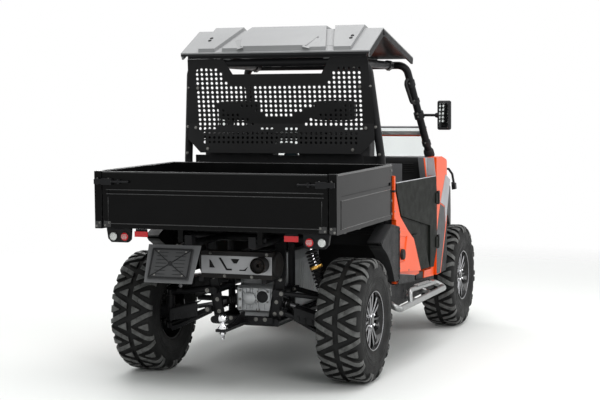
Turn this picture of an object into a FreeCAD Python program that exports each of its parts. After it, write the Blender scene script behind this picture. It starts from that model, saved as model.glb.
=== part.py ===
"""Side by side utility vehicle: two seats under a roll cage, a tipping load bed and four driven wheels.

Millimetres. X points forward, Y to the vehicle's left and Z up. The origin lies on the ground, midway
between the axles. Pieces that come in left and right pairs are drawn on the left and mirrored.
"""
import FreeCAD, Part
import math
import os

V = FreeCAD.Vector

# Clearances
seat_gap = 0.3            # between a piece and what it is seated on
bore_gap = 0.4            # round a pin or shaft in its bore
joint_gap = 6.0           # between a moving piece and its neighbours

# Wheels and tyres
wheelbase = 1864.0
rear_axle_x = -wheelbase / 2
front_axle_x = wheelbase / 2
tyre_radius = 318.0
rear_tyre_width = 232.0
front_tyre_width = 208.0
rear_track = 1130.0       # between the tyres' middle planes
front_track = 1150.0
rim_radius = 154.0        # where the tyre's bead sits
rim_wall = 10.0
rim_lip = 12.0            # how far the tyre stands out past the rim on each side
lug_count = 22            # round each half of the tread
lug_height = 15.0
lug_width = 25.0
lug_lean = 28.0           # from the axle's direction, degrees
lug_inner = 14.0          # from the tyre's middle plane
lug_drop = 2.7            # a lug's flat middle lies this far inside the tyre's radius
tread_bevel = 24.0        # how far the tread's edge is cut back
spoke_count = 7
spoke_width = 13.0
spoke_spread = 8.0        # half the distance between a spoke's two bars at the hub
spoke_splay = 5.0         # how far each bar of a spoke turns outwards, degrees
spoke_thickness = 20.0
spoke_set_in = 16.0       # from the rim's outer edge to the spokes' face
hub_radius = 48.0
hub_length = 84.0
stub_radius = 17.0
disc_radius = 92.0
disc_thickness = 6.0

# Suspension and steering
arm_tube = 13.0
arm_end_radius = 19.0
bush_radius = 16.0
bush_length = 30.0
upper_arm_spread = 94.0   # half the distance between an arm's two frame pivots
lower_arm_spread = 94.0
upper_arm_z = tyre_radius + 134.0
lower_arm_z = tyre_radius + 34.0
kingpin_top = tyre_radius + 84.0
kingpin_bottom = tyre_radius - 52.0
kingpin_radius = 24.0
ball_drop = 27.0          # from the knuckle down to the lower ball joint
kingpin_from_wheel = 92.0  # from the wheel's middle plane in to the steering axis
carrier_radius = 40.0
guard_width = 120.0
guard_thickness = 4.0
guard_rib_depth = 12.0
shock_top_y = 322.0
shock_top_z = 690.0
shock_foot_y = 398.0
shock_eye = 16.0
shock_eye_length = 44.0
shock_body_radius = 20.0
spring_radius = 34.0
shaft_radius = 12.0
boot_radius = 32.0
boot_length = 70.0
steer_arm = 88.0          # from the steering axis back to the tie rod's eye
steer_arm_z = tyre_radius + 54.0
steer_arm_thickness = 12.0
tie_eye_radius = 10.0
tie_rod_radius = 8.0
rack_radius = 10.0
rack_z = tyre_radius + 76.0
rack_housing_radius = 17.0
rack_housing_half = 150.0
rack_bar_half = 230.0

# Chassis
rail_radius = 19.0
cross_radius = 16.0
rail_y = 172.0
rail_z = tyre_radius - 18.0
frame_rear_x = rear_axle_x - 112.0
leg_x = rear_axle_x - 78.0
frame_front_x = front_axle_x + 218.0
rear_upright_x = rear_axle_x + 132.0
front_upright_x = (front_axle_x - 180.0, front_axle_x + 158.0)
leg_width = 56.0
leg_thickness = 12.0
leg_foot_y = 152.0
leg_knee_y = 192.0
leg_knee_z = 548.0
tower_half = 346.0
outrigger_half = 28.0
sill_tube_x = (rear_axle_x + 592.0, front_axle_x - 832.0)
skid_half = 178.0
skid_thickness = 5.0
skid_nose_x = front_axle_x + 368.0
skid_nose_z = 430.0
engine_rear_x = rear_axle_x + 192.0
engine_front_x = rear_axle_x + 632.0
engine_half = 148.0
engine_top_z = 632.0
case_rear_x = rear_axle_x - 56.0
case_front_x = rear_axle_x + 52.0
case_left_y = 68.0
case_right_y = -146.0
case_bottom_z = tyre_radius + 20.0
case_top_z = tyre_radius + 160.0
case_cap_radius = 24.0
case_cap_y = -84.0
case_cap_z = tyre_radius + 106.0
front_case_half = 72.0
prop_shaft_z = tyre_radius + 18.0

# Exhaust
muffler_x = rear_axle_x - 218.0
muffler_z = 613.0
muffler_radius = 68.0
muffler_left_y = 176.0
muffler_right_y = -240.0
cradle_width = 24.0
outlet_y = -172.0
outlet_z = 622.0
outlet_radius = 39.0
outlet_length = 62.0
shield_left_y = 158.0
shield_right_y = -226.0
shield_bottom_z = 569.0
shield_top_z = 660.0
shield_thickness = 4.0
strap_height = 22.0

# Tow ball and plate
drawbar_end_x = rear_axle_x - 418.0
drawbar_half = 28.0
drawbar_top_z = rail_z + 6.0
drawbar_thickness = 14.0
ball_x = rear_axle_x - 390.0
ball_radius = 24.0
ball_z = 357.0
ball_stem_radius = 9.5
ball_stem_bottom_z = 251.0
plate_left_y = 388.0
plate_right_y = 97.0
plate_taper = 15.0        # how far each side comes in at the bottom
plate_thickness = 4.0
holder_border = 34.0
holder_thickness = 12.0

# Load bed, tailgate and its lamps
bed_length = 910.0
bed_front_x = rear_axle_x + 405.0
bed_rear_x = bed_front_x - bed_length
bed_width = 1290.0
bed_top_z = 1091.0
bed_bottom_z = 803.0
bed_wall = 22.0
bed_floor = 24.0
post_width = 40.0
tailgate_thickness = 24.0
tailgate_lift = 6.0       # tailgate's lower edge above the bed's
groove_z = 990.0
groove_height = 18.0
groove_depth = 6.0
pivot_x = bed_rear_x + 112.0
pivot_z = 756.0
pivot_radius = 11.0
pivot_lug = 21.0
bed_beam_y = 214.0
bed_beam_width = 26.0
bed_beam_depth = 24.0
bed_rest_x = bed_front_x - 93.0
hinge_pin_radius = 5.0
hinge_pin_length = 44.0
latch_depth = 18.0
lamp_x = bed_rear_x + 33.0
plate_top = (bed_rear_x + 87.0, 721.0)
plate_bottom = (bed_rear_x - 3.0, 540.0)
lamp_z = 762.0
lamp_white_y = 558.0
lamp_red_y = 495.0
lamp_radius = 22.0
lamp_depth = 12.0
ear_thickness = 20.0
reflector_y = 402.0
reflector_z = 777.0
reflector_width = 72.0
reflector_height = 28.0

# Widths of the body and cab
body_half = 658.0
tub_half = body_half - 118.0

# Roll cage, roof and rear screen
cage_tube = 22.0
hoop_x = rear_axle_x + 460.0
hoop_foot_y = tub_half + 28.0
hoop_bend_z = 1113.0
hoop_top_x = hoop_x - 68.0
hoop_top_y = hoop_foot_y - 53.0
cage_top_z = 1640.0
cage_bend = 75.0
pillar_foot_x = front_axle_x - 420.0
pillar_foot_y = tub_half + 30.0
pillar_top_x = pillar_foot_x - 276.0
pillar_top_y = pillar_foot_y - 70.0
pillar_top_z = 1628.0
side_rail_y = hoop_top_y - 100.0
belt_bar_z = 1240.0
belt_bar_radius = 16.0
roof_rear_x = rear_axle_x + 324.0
roof_rear_z = 1697.0
roof_crest_x = rear_axle_x + 577.0
roof_crest_z = 1823.0
roof_front_x = front_axle_x - 702.0
roof_front_z = 1673.0
roof_half = tub_half + 5.0
roof_thickness = 10.0
skirt_depth = 40.0
pad_height = 18.0
pad_end = 56.0            # from the front edge back to the raised pads
pad_outer_y = roof_half - 104.0
lip_height = 9.0
lip_length = 104.0
roof_foot_y = (270.0, 330.0)
screen_thickness = 3.0
screen_bottom_z = 1146.0
screen_bend_z = 1308.0
screen_top_z = 1664.0
screen_half = tub_half + 5.0
screen_chamfer = 76.0
screen_window_z = 1578.0
screen_kick = 8.0         # how far the lower part stands out behind the upper one

# Cab
tub_wall = 6.0
floor_z = 366.0
firewall_x = front_axle_x - 381.0
firewall_top_z = 1059.0
bulkhead_x = rear_axle_x + 492.0
bulkhead_top_z = 1130.0
seat_box_x = rear_axle_x + 922.0
seat_box_z = 650.0
cushion_height = 110.0
cushion_front_x = rear_axle_x + 948.0
seat_width = 470.0
seat_y = 282.0
seat_back_top_z = 1300.0
headrest_width = 260.0
headrest_top_z = 1440.0
dash_rear_x = front_axle_x - 540.0
dash_bottom_z = 880.0
cowl_front_x = front_axle_x - 360.0
cowl_top_z = 1083.0
cowl_half = body_half - 60.0
cheek_rear_x = front_axle_x - 670.0
cheek_bottom_z = 960.0
steering_y = 282.0
steering_x = front_axle_x - 700.0
steering_z = 1012.0
steering_tilt = 32.0      # column's angle above the horizontal, degrees
steering_ring = 172.0
steering_tube = 13.0
glass_thickness = 5.0
glass_top_z = 1262.0
glass_half = tub_half + 26.0
mirror_x = front_axle_x - 580.0
mirror_y = body_half + 42.0
mirror_z = 1335.0
mirror_width = 80.0
mirror_height = 172.0
mirror_depth = 36.0
mirror_border = 14.0

# Outer body
door_rear_x = rear_axle_x + 443.0
door_front_x = front_axle_x - 590.0
door_thickness = 28.0
door_recess = 12.0
door_hinge_x = front_axle_x - 580.0
door_barrel = 7.0
door_pin = 3.5
door_leaf = 46.0
sill_rear_x = rear_axle_x + 332.0
sill_front_x = front_axle_x - 592.0
sill_top_z = 446.0
sill_half = body_half - 18.0
shell_wall = 6.0
arch_clearance = 56.0     # between the front tyre and the arch round it
rear_arch_clearance = 66.0
quarter_rear_x = rear_axle_x + 446.0
fuel_cap_z = 600.0
fuel_cap_radius = 30.0
step_radius = 13.0
fender_inner_y = body_half - 328.0
fender_rear_inner_y = body_half - 58.0
flare_rear_y = body_half - 52.0
flare_front_y = body_half - 152.0
flare_inner_y = body_half - 168.0
panel_depth = 2.0
hood_rear_x = front_axle_x - 350.0
hood_front_x = front_axle_x + 244.0
hood_thickness = 6.0
hood_hinge_x = front_axle_x - 344.0
hood_hinge_y = fender_inner_y - 80.0
hood_hinge_z = 1073.5
hood_barrel = 6.5
hood_barrel_length = 26.0
hood_pin = 3.5
nose_x = front_axle_x + 388.0
nose_bottom_z = 440.0
grille_half = fender_inner_y - 120.0
grille_thickness = 8.0
grille_bottom_z = 520.0
grille_rows = 6
grille_pitch = 36.0
grille_opening = 22.0
grille_top_z = grille_bottom_z + grille_rows * grille_pitch + 4.0
bar_radius = 17.0
guard_front_x = front_axle_x + 517.0

arm_inner_y = rail_y + rail_radius + seat_gap + bush_radius
upper_ball_z = kingpin_top + seat_gap + arm_tube + 1
lower_ball_z = kingpin_bottom - ball_drop
tower_z = shock_top_z + shock_eye + seat_gap + rail_radius
rear_king_y = rear_track / 2 - kingpin_from_wheel
front_king_y = front_track / 2 - kingpin_from_wheel
cross_top_z = rail_z + cross_radius
sill_bottom_z = cross_top_z + seat_gap
door_inner_y = body_half - door_thickness
fender_outer_y = body_half - 4
cab_foot_z = tower_z + rail_radius


# Shapes shared by the pieces below

def box(x, y, z):
    """A block between two values on each axis."""
    return Part.makeBox(x[1] - x[0], y[1] - y[0], z[1] - z[0], V(x[0], y[0], z[0]))


def side_prism(outline, y):
    """An (x, z) outline drawn out between two y values."""
    wire = Part.makePolygon([V(a, y[0], b) for a, b in outline + outline[:1]])
    return Part.Face(wire).extrude(V(0, y[1] - y[0], 0))


def rear_prism(outline, x):
    """A (y, z) outline drawn out between two x values."""
    wire = Part.makePolygon([V(x[0], a, b) for a, b in outline + outline[:1]])
    return Part.Face(wire).extrude(V(x[1] - x[0], 0, 0))


def plan_prism(outline, z):
    """An (x, y) outline drawn out between two z values."""
    wire = Part.makePolygon([V(a, b, z[0]) for a, b in outline + outline[:1]])
    return Part.Face(wire).extrude(V(0, 0, z[1] - z[0]))


def shifted(line, distance):
    """An (x, z) line moved to the left of its direction, with its corners kept sharp."""
    normals = []
    for (ax, az), (bx, bz) in zip(line, line[1:]):
        length = math.hypot(bx - ax, bz - az)
        normals.append((-(bz - az) / length, (bx - ax) / length))
    moved = []
    for k, (px, pz) in enumerate(line):
        before, after = normals[max(k - 1, 0)], normals[min(k, len(normals) - 1)]
        mx, mz = before[0] + after[0], before[1] + after[1]
        reach = 2 * distance / (mx * mx + mz * mz)
        moved.append((px + mx * reach, pz + mz * reach))
    return moved


def bent_sheet(line, thickness, y, start=0.0):
    """A folded sheet: an (x, z) line thickened to its left from the start distance, then drawn out in y."""
    return side_prism(shifted(line, start) + shifted(line, start + thickness)[::-1], y)


def rod(start, end, radius):
    """A round bar between two points."""
    a, b = V(*start), V(*end)
    return Part.makeCylinder(radius, (b - a).Length, a, b - a)


def ball(centre, radius):
    return Part.makeSphere(radius, V(*centre))


def cross_drum(x, y, z, radius):
    """A round block about an axis across the vehicle, between two y values."""
    return Part.makeCylinder(radius, y[1] - y[0], V(x, y[0], z), V(0, 1, 0))


def long_drum(x, y, z, radius):
    """A round block about an axis along the vehicle, between two x values."""
    return Part.makeCylinder(radius, x[1] - x[0], V(x[0], y, z), V(1, 0, 0))


def upright_drum(x, y, z, radius):
    """A round block about an upright axis, between two z values."""
    return Part.makeCylinder(radius, z[1] - z[0], V(x, y, z[0]), V(0, 0, 1))


def tube(points, radius, bend):
    """A bar through the points, with an arc of the bend's radius at each inner point."""
    path = [V(*p) for p in points]
    edges, here = [], path[0]
    for before, corner, after in zip(path, path[1:], path[2:]):
        into, out = (corner - before).normalize(), (after - corner).normalize()
        half_turn = math.acos(max(-1.0, min(1.0, into.dot(out)))) / 2
        cut_back = bend * math.tan(half_turn)
        start, end = corner - into * cut_back, corner + out * cut_back
        inward = (out - into).normalize()
        middle = corner + inward * (bend / math.cos(half_turn) - bend)
        edges += [Part.LineSegment(here, start).toShape(), Part.Arc(start, middle, end).toShape()]
        here = end
    edges.append(Part.LineSegment(here, path[-1]).toShape())
    ring = Part.Wire(Part.Circle(path[0], path[1] - path[0], radius).toShape())
    return Part.Wire(edges).makePipeShell([ring], True, False)


def mirrored(shape):
    return shape.mirror(V(0, 0, 0), V(0, 1, 0))


def pair(shape):
    """The left piece and its mirror image."""
    return [shape, mirrored(shape)]


def joined(shapes):
    """One solid from pieces that meet or overlap."""
    return shapes[0].fuse(shapes[1:]).removeSplitter()


def along(start, end, value):
    """The x on a straight (x, z) line at height value."""
    return start[0] + (end[0] - start[0]) * (value - start[1]) / (end[1] - start[1])


def faceted(points, faces):
    """A solid with flat faces, each given by the numbers of its corners."""
    sides = [Part.Face(Part.makePolygon([points[k] for k in face + face[:1]])) for face in faces]
    return Part.makeSolid(Part.makeShell(sides))


def from_rear(outline):
    """Corners whose x is measured from the rear axle."""
    return [(rear_axle_x + x, other) for x, other in outline]


def along_door(outline):
    """Corners whose x is a share of the way from the door's rear edge to its front edge."""
    return [(door_rear_x + share * (door_front_x - door_rear_x), other) for share, other in outline]


def from_front(outline):
    """Corners whose x is measured from the front axle."""
    return [(front_axle_x + x, other) for x, other in outline]


def save(node, solids):
    os.makedirs("parts", exist_ok=True)
    whole = [s for shape in solids for s in shape.Solids]
    Part.makeCompound(whole).exportStep(f"parts/{node}.step")


# Wheels

def ring(profile, x, y):
    """A (radius, y) profile turned about the axle."""
    wire = Part.makePolygon([V(x, y + b, tyre_radius + a) for a, b in profile + profile[:1]])
    return Part.Face(wire).revolve(V(x, 0, tyre_radius), V(0, 1, 0), 360)


def on_wheel(x, y, turn, radius, across, along_tread=0.0):
    """A point of a wheel, turned about the axle by an angle in radians."""
    dx = radius * math.sin(turn) + along_tread * math.cos(turn)
    dz = radius * math.cos(turn) - along_tread * math.sin(turn)
    return V(x + dx, y + across, tyre_radius + dz)


def lug(x, y, number, half, side):
    """One bar of the tread, leaning one way or the other by turns, on its own flat of the carcass."""
    top = tyre_radius - lug_drop
    outer = half - 4
    profile = [
        (lug_inner, tyre_radius - lug_height - 4), (lug_inner, top), (half - tread_bevel, top),
        (outer, top - 18), (outer, top - 37),
    ]
    lean = math.tan(math.radians(lug_lean)) * (-1) ** (number + (side > 0))
    reach = lug_width / 2 / math.cos(math.radians(lug_lean))
    middle = (lug_inner + outer) / 2
    turn = 2 * math.pi * (number + 0.5) / lug_count
    points = []
    for edge in (-reach, reach):
        points += [on_wheel(x, y, turn, r, side * w, (w - middle) * lean + edge) for w, r in profile]
    count = len(profile)
    faces = [list(range(count)), list(range(2 * count - 1, count - 1, -1))]
    for k in range(count):
        after = (k + 1) % count
        faces.append([k, k + count, after + count, after])
    solid = faceted(points, faces)
    if solid.Volume < 0:
        solid.reverse()
    return solid


def tyre(x, y, width):
    """A carcass with one flat for each pair of lugs, and the lugs on it."""
    half = width / 2
    flat = math.cos(math.pi / lug_count)
    crown = tyre_radius - lug_height
    bead = (rim_radius + seat_gap, half - rim_lip)
    side = [bead, (crown - 53, half), (crown - 19, half), (crown, half - tread_bevel)]
    loop = [(r / flat, -w) for r, w in side] + [(r / flat, w) for r, w in side[::-1]]
    count = len(loop)
    points, faces = [], []
    for k in range(lug_count):
        points += [on_wheel(x, y, 2 * math.pi * k / lug_count, r, w) for r, w in loop]
        near, far = k * count, (k + 1) % lug_count * count
        for m in range(count):
            after = (m + 1) % count
            faces.append([near + m, near + after, far + after, far + m])
    carcass = faceted(points, faces)
    if carcass.Volume < 0:
        carcass.reverse()
    lugs = [lug(x, y, k, half, side) for k in range(lug_count) for side in (-1, 1)]
    return carcass.fuse(lugs)


def hub_end(half_track, width):
    """The y where a left wheel's hub ends on its inner side."""
    return half_track + width / 2 - rim_lip - spoke_set_in - hub_length


def left_rim(x, y, width):
    """Rim, spokes, hub and brake disc, with its outer face towards +Y."""
    half = width / 2 - rim_lip
    face = y + half - spoke_set_in
    inner_end = hub_end(y, width)
    bore = rim_radius - rim_wall
    pieces = [
        ring([(rim_radius, -half), (rim_radius, half), (bore, half), (bore, -half)], x, y),
        cross_drum(x, (inner_end, face), tyre_radius, hub_radius),
        cross_drum(x, (inner_end, inner_end + disc_thickness), tyre_radius, disc_radius),
    ]
    centre, axle = V(x, 0, tyre_radius), V(0, 1, 0)
    reach = tyre_radius + rim_radius - rim_wall / 2
    for k in range(spoke_count):
        for way in (-1, 1):
            bar_x = x + way * spoke_spread
            width = (bar_x - spoke_width / 2, bar_x + spoke_width / 2)
            bar = box(width, (face - spoke_thickness, face), (tyre_radius, reach))
            bar = bar.rotated(V(bar_x, 0, tyre_radius), axle, way * spoke_splay)
            pieces.append(bar.rotated(centre, axle, 360.0 * k / spoke_count))
    shaft = cross_drum(x, (inner_end, face - spoke_thickness), tyre_radius, stub_radius + bore_gap)
    return joined(pieces).cut(shaft)


def make_wheels():
    # axle, axle's x, half the track, tyre width
    axles = [
        ("rear", rear_axle_x, rear_track / 2, rear_tyre_width),
        ("front", front_axle_x, front_track / 2, front_tyre_width),
    ]
    for axle, x, half_track, width in axles:
        tyres, rims = pair(tyre(x, half_track, width)), pair(left_rim(x, half_track, width))
        for k, side in enumerate(("left", "right")):
            save(f"tyre_{axle}_{side}", [tyres[k]])
            save(f"rim_{axle}_{side}", [rims[k]])


# Suspension: knuckles, arms, shock absorbers and drive shafts

def knuckle(x, king_y, half_track, width):
    """A left knuckle with its stub axle."""
    hub_y = hub_end(half_track, width)
    return joined([
        upright_drum(x, king_y, (kingpin_bottom, kingpin_top), kingpin_radius),
        cross_drum(x, (king_y, hub_y - joint_gap), tyre_radius, carrier_radius),
        cross_drum(x, (king_y, hub_y + hub_length - spoke_thickness - joint_gap), tyre_radius, stub_radius),
    ])


def arm(axle_x, king_y, ball_z, inner_z, spread):
    """A left wishbone: two tubes from bushes at the frame that meet over the knuckle."""
    outer = (axle_x, king_y, ball_z)
    pieces = [upright_drum(axle_x, king_y, (ball_z - arm_tube - 1, ball_z + arm_tube + 1), arm_end_radius)]
    for way in (-1, 1):
        x = axle_x + way * spread
        pieces.append(rod((x, arm_inner_y, inner_z), outer, arm_tube))
        pieces.append(long_drum((x - bush_length / 2, x + bush_length / 2), arm_inner_y, inner_z, bush_radius))
    return pieces


def shock_seat_z(king_y):
    """Top of the upper arm where the shock absorber stands on it."""
    share = (king_y - shock_foot_y) / (king_y - arm_inner_y)
    return upper_ball_z + (upper_arm_z - upper_ball_z) * share + arm_tube + 2


def upper_arm(axle_x, king_y):
    seat_z = shock_seat_z(king_y)
    bridge = box(
        (axle_x - shock_eye_length, axle_x + shock_eye_length),
        (shock_foot_y - shock_eye, shock_foot_y + shock_eye),
        (seat_z - arm_tube, seat_z),
    )
    return joined(arm(axle_x, king_y, upper_ball_z, upper_arm_z, upper_arm_spread) + [bridge])


def arm_guard(axle_x, king_y):
    """A left plate under the lower wishbone."""
    slope = (lower_arm_z - lower_ball_z) / (king_y - arm_inner_y)
    drop = (arm_tube + seat_gap) * math.hypot(1, slope)
    near_y, far_y = arm_inner_y + 40, king_y - 24
    near_z = lower_arm_z - slope * (near_y - arm_inner_y) - drop
    far_z = lower_arm_z - slope * (far_y - arm_inner_y) - drop
    under = guard_thickness
    outline = [(near_y, near_z), (far_y, far_z), (far_y, far_z - under), (near_y, near_z - under)]
    pieces = [rear_prism(outline, (axle_x - guard_width / 2, axle_x + guard_width / 2))]
    deep = guard_thickness + guard_rib_depth
    rib = [(near_y, near_z - 1), (far_y, far_z - 1), (far_y - 12, far_z - deep), (near_y + 12, near_z - deep)]
    for share in (-1, -0.5, 0, 0.5, 1):
        x = axle_x + share * (guard_width - guard_thickness) / 2
        pieces.append(rear_prism(rib, (x - guard_thickness / 2, x + guard_thickness / 2)))
    return joined(pieces)


def shock_line(axle_x, king_y):
    """Centres of the shock absorber's lower and upper eyes."""
    foot = V(axle_x, shock_foot_y, shock_seat_z(king_y) + seat_gap + shock_eye)
    return foot, V(axle_x, shock_top_y, shock_top_z)


def shock(axle_x, king_y):
    foot, top = shock_line(axle_x, king_y)
    half = shock_eye_length / 2
    pieces = [Part.makeCylinder(shock_body_radius, (top - foot).Length, foot, top - foot)]
    for eye in (foot, top):
        pieces.append(long_drum((axle_x - half, axle_x + half), eye.y, eye.z, shock_eye))
    return joined(pieces)


def spring(axle_x, king_y):
    foot, top = shock_line(axle_x, king_y)
    way = (top - foot).normalize()
    start, length = foot + way * (shock_eye * 2), (top - foot).Length - shock_eye * 4
    sleeve = Part.makeCylinder(spring_radius, length, start, way)
    return sleeve.cut(Part.makeCylinder(shock_body_radius + bore_gap, length, start, way))


def half_shaft(axle_x, king_y, case_y, case_z):
    """A left drive shaft from the gear case to the knuckle, with a boot at each end."""
    start = V(axle_x, case_y + seat_gap, case_z)
    end = V(axle_x, king_y - kingpin_radius - seat_gap - 1, tyre_radius)
    way = (end - start).normalize()
    inner_boot = Part.makeCone(boot_radius, shaft_radius + 3, boot_length, start, way)
    outer_boot = Part.makeCone(boot_radius, shaft_radius + 3, boot_length, end - way * 8, way * -1)
    whole = joined([Part.makeCylinder(shaft_radius, (end - start).Length, start, way), inner_boot, outer_boot])
    keep = box((axle_x - 99, axle_x + 99), (case_y + seat_gap, king_y - kingpin_radius - seat_gap), (100, 700))
    return whole.common(keep)


def make_suspension():
    # axle, axle's x, steering axis y, half the track, tyre width
    axles = [
        ("rear", rear_axle_x, rear_king_y, rear_track / 2, rear_tyre_width),
        ("front", front_axle_x, front_king_y, front_track / 2, front_tyre_width),
    ]
    arms, shocks, springs = [], [], []
    for axle, x, king_y, half_track, width in axles:
        stud = upright_drum(x, king_y, (lower_ball_z, kingpin_bottom - seat_gap), arm_tube / 2)
        lower = joined(arm(x, king_y, lower_ball_z, lower_arm_z, lower_arm_spread) + [stud])
        arms += pair(upper_arm(x, king_y)) + pair(lower) + pair(arm_guard(x, king_y))
        shocks += pair(shock(x, king_y))
        springs += pair(spring(x, king_y))
    save("suspension_arms", arms)
    save("shock_bodies", shocks)
    save("shock_springs", springs)
    save("rear_knuckles", pair(knuckle(rear_axle_x, rear_king_y, rear_track / 2, rear_tyre_width)))
    rear_z, front_z = case_top_z - 80, case_top_z - 90
    rear_right = mirrored(half_shaft(rear_axle_x, rear_king_y, -case_right_y, rear_z))
    save("drive_shafts", [
        half_shaft(rear_axle_x, rear_king_y, case_left_y, rear_z), rear_right,
        *pair(half_shaft(front_axle_x, front_king_y, front_case_half, front_z)),
        long_drum((engine_front_x + seat_gap, front_axle_x - 62 - seat_gap), 0, prop_shaft_z, shaft_radius),
    ])


def make_steering():
    arm_x = front_axle_x - steer_arm
    low, high = steer_arm_z - steer_arm_thickness / 2, steer_arm_z + steer_arm_thickness / 2
    lever_y = (front_king_y - tie_eye_radius, front_king_y + tie_eye_radius)
    lever = box((arm_x, front_axle_x), lever_y, (low, high))
    lever = lever.fuse(upright_drum(arm_x, front_king_y, (low, high), tie_eye_radius))
    left = joined([knuckle(front_axle_x, front_king_y, front_track / 2, front_tyre_width), lever])
    for side, shape in zip(("left", "right"), pair(left)):
        save(f"knuckle_front_{side}", [shape])

    eye = upright_drum(arm_x, front_king_y, (high + seat_gap, rack_z + tie_rod_radius), tie_eye_radius)
    link = rod((arm_x, rack_bar_half - 8, rack_z), (arm_x, front_king_y, rack_z), tie_rod_radius)
    bar = cross_drum(arm_x, (-rack_bar_half, rack_bar_half), rack_z, rack_radius)
    save("tie_rods", [joined([bar, *pair(link), *pair(eye)])])

    span = (-rack_housing_half, rack_housing_half)
    housing = [cross_drum(arm_x, span, rack_z, rack_housing_radius)]
    for y in (-100.0, 100.0):
        housing.append(box((arm_x - 10, arm_x + 10), (y - 12, y + 12), (cross_top_z + seat_gap, rack_z)))
    housing = joined(housing).cut(cross_drum(arm_x, span, rack_z, rack_radius + bore_gap))

    tilt = math.radians(steering_tilt)
    up = V(-math.cos(tilt), 0, math.sin(tilt))
    centre = V(steering_x, steering_y, steering_z)
    wheel = [Part.makeTorus(steering_ring, steering_tube, centre, up)]
    hub_base = centre - up * 30
    wheel.append(Part.makeCylinder(30, 34, hub_base, up))
    across = V(0, 1, 0)
    down = across.cross(up)
    boss = centre - up * 12
    for direction in (across, across * -1, down if down.z < 0 else down * -1):
        wheel.append(Part.makeCylinder(9, steering_ring, boss, direction + up * (12 / steering_ring)))
    save("steering_wheel", [joined(wheel)])
    length = (dash_rear_x - hub_base.x) / math.cos(tilt) - seat_gap
    column = Part.makeCylinder(24, length + 60, hub_base - up * seat_gap, up * -1)
    save("steering_gear", [column.common(box((0, dash_rear_x - seat_gap), (0, 600), (500, 1200))), housing])


# Chassis, engine and gear cases

def rear_leg():
    """The left upright plate behind the gear case, with its knee."""
    half = leg_width / 2
    outline = [
        (leg_foot_y - half, rail_z), (leg_knee_y - half, leg_knee_z), (leg_knee_y - half, tower_z),
        (leg_knee_y + half, tower_z), (leg_knee_y + half, leg_knee_z), (leg_foot_y + half, rail_z),
    ]
    return rear_prism(outline, (leg_x, leg_x + leg_thickness))


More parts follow.
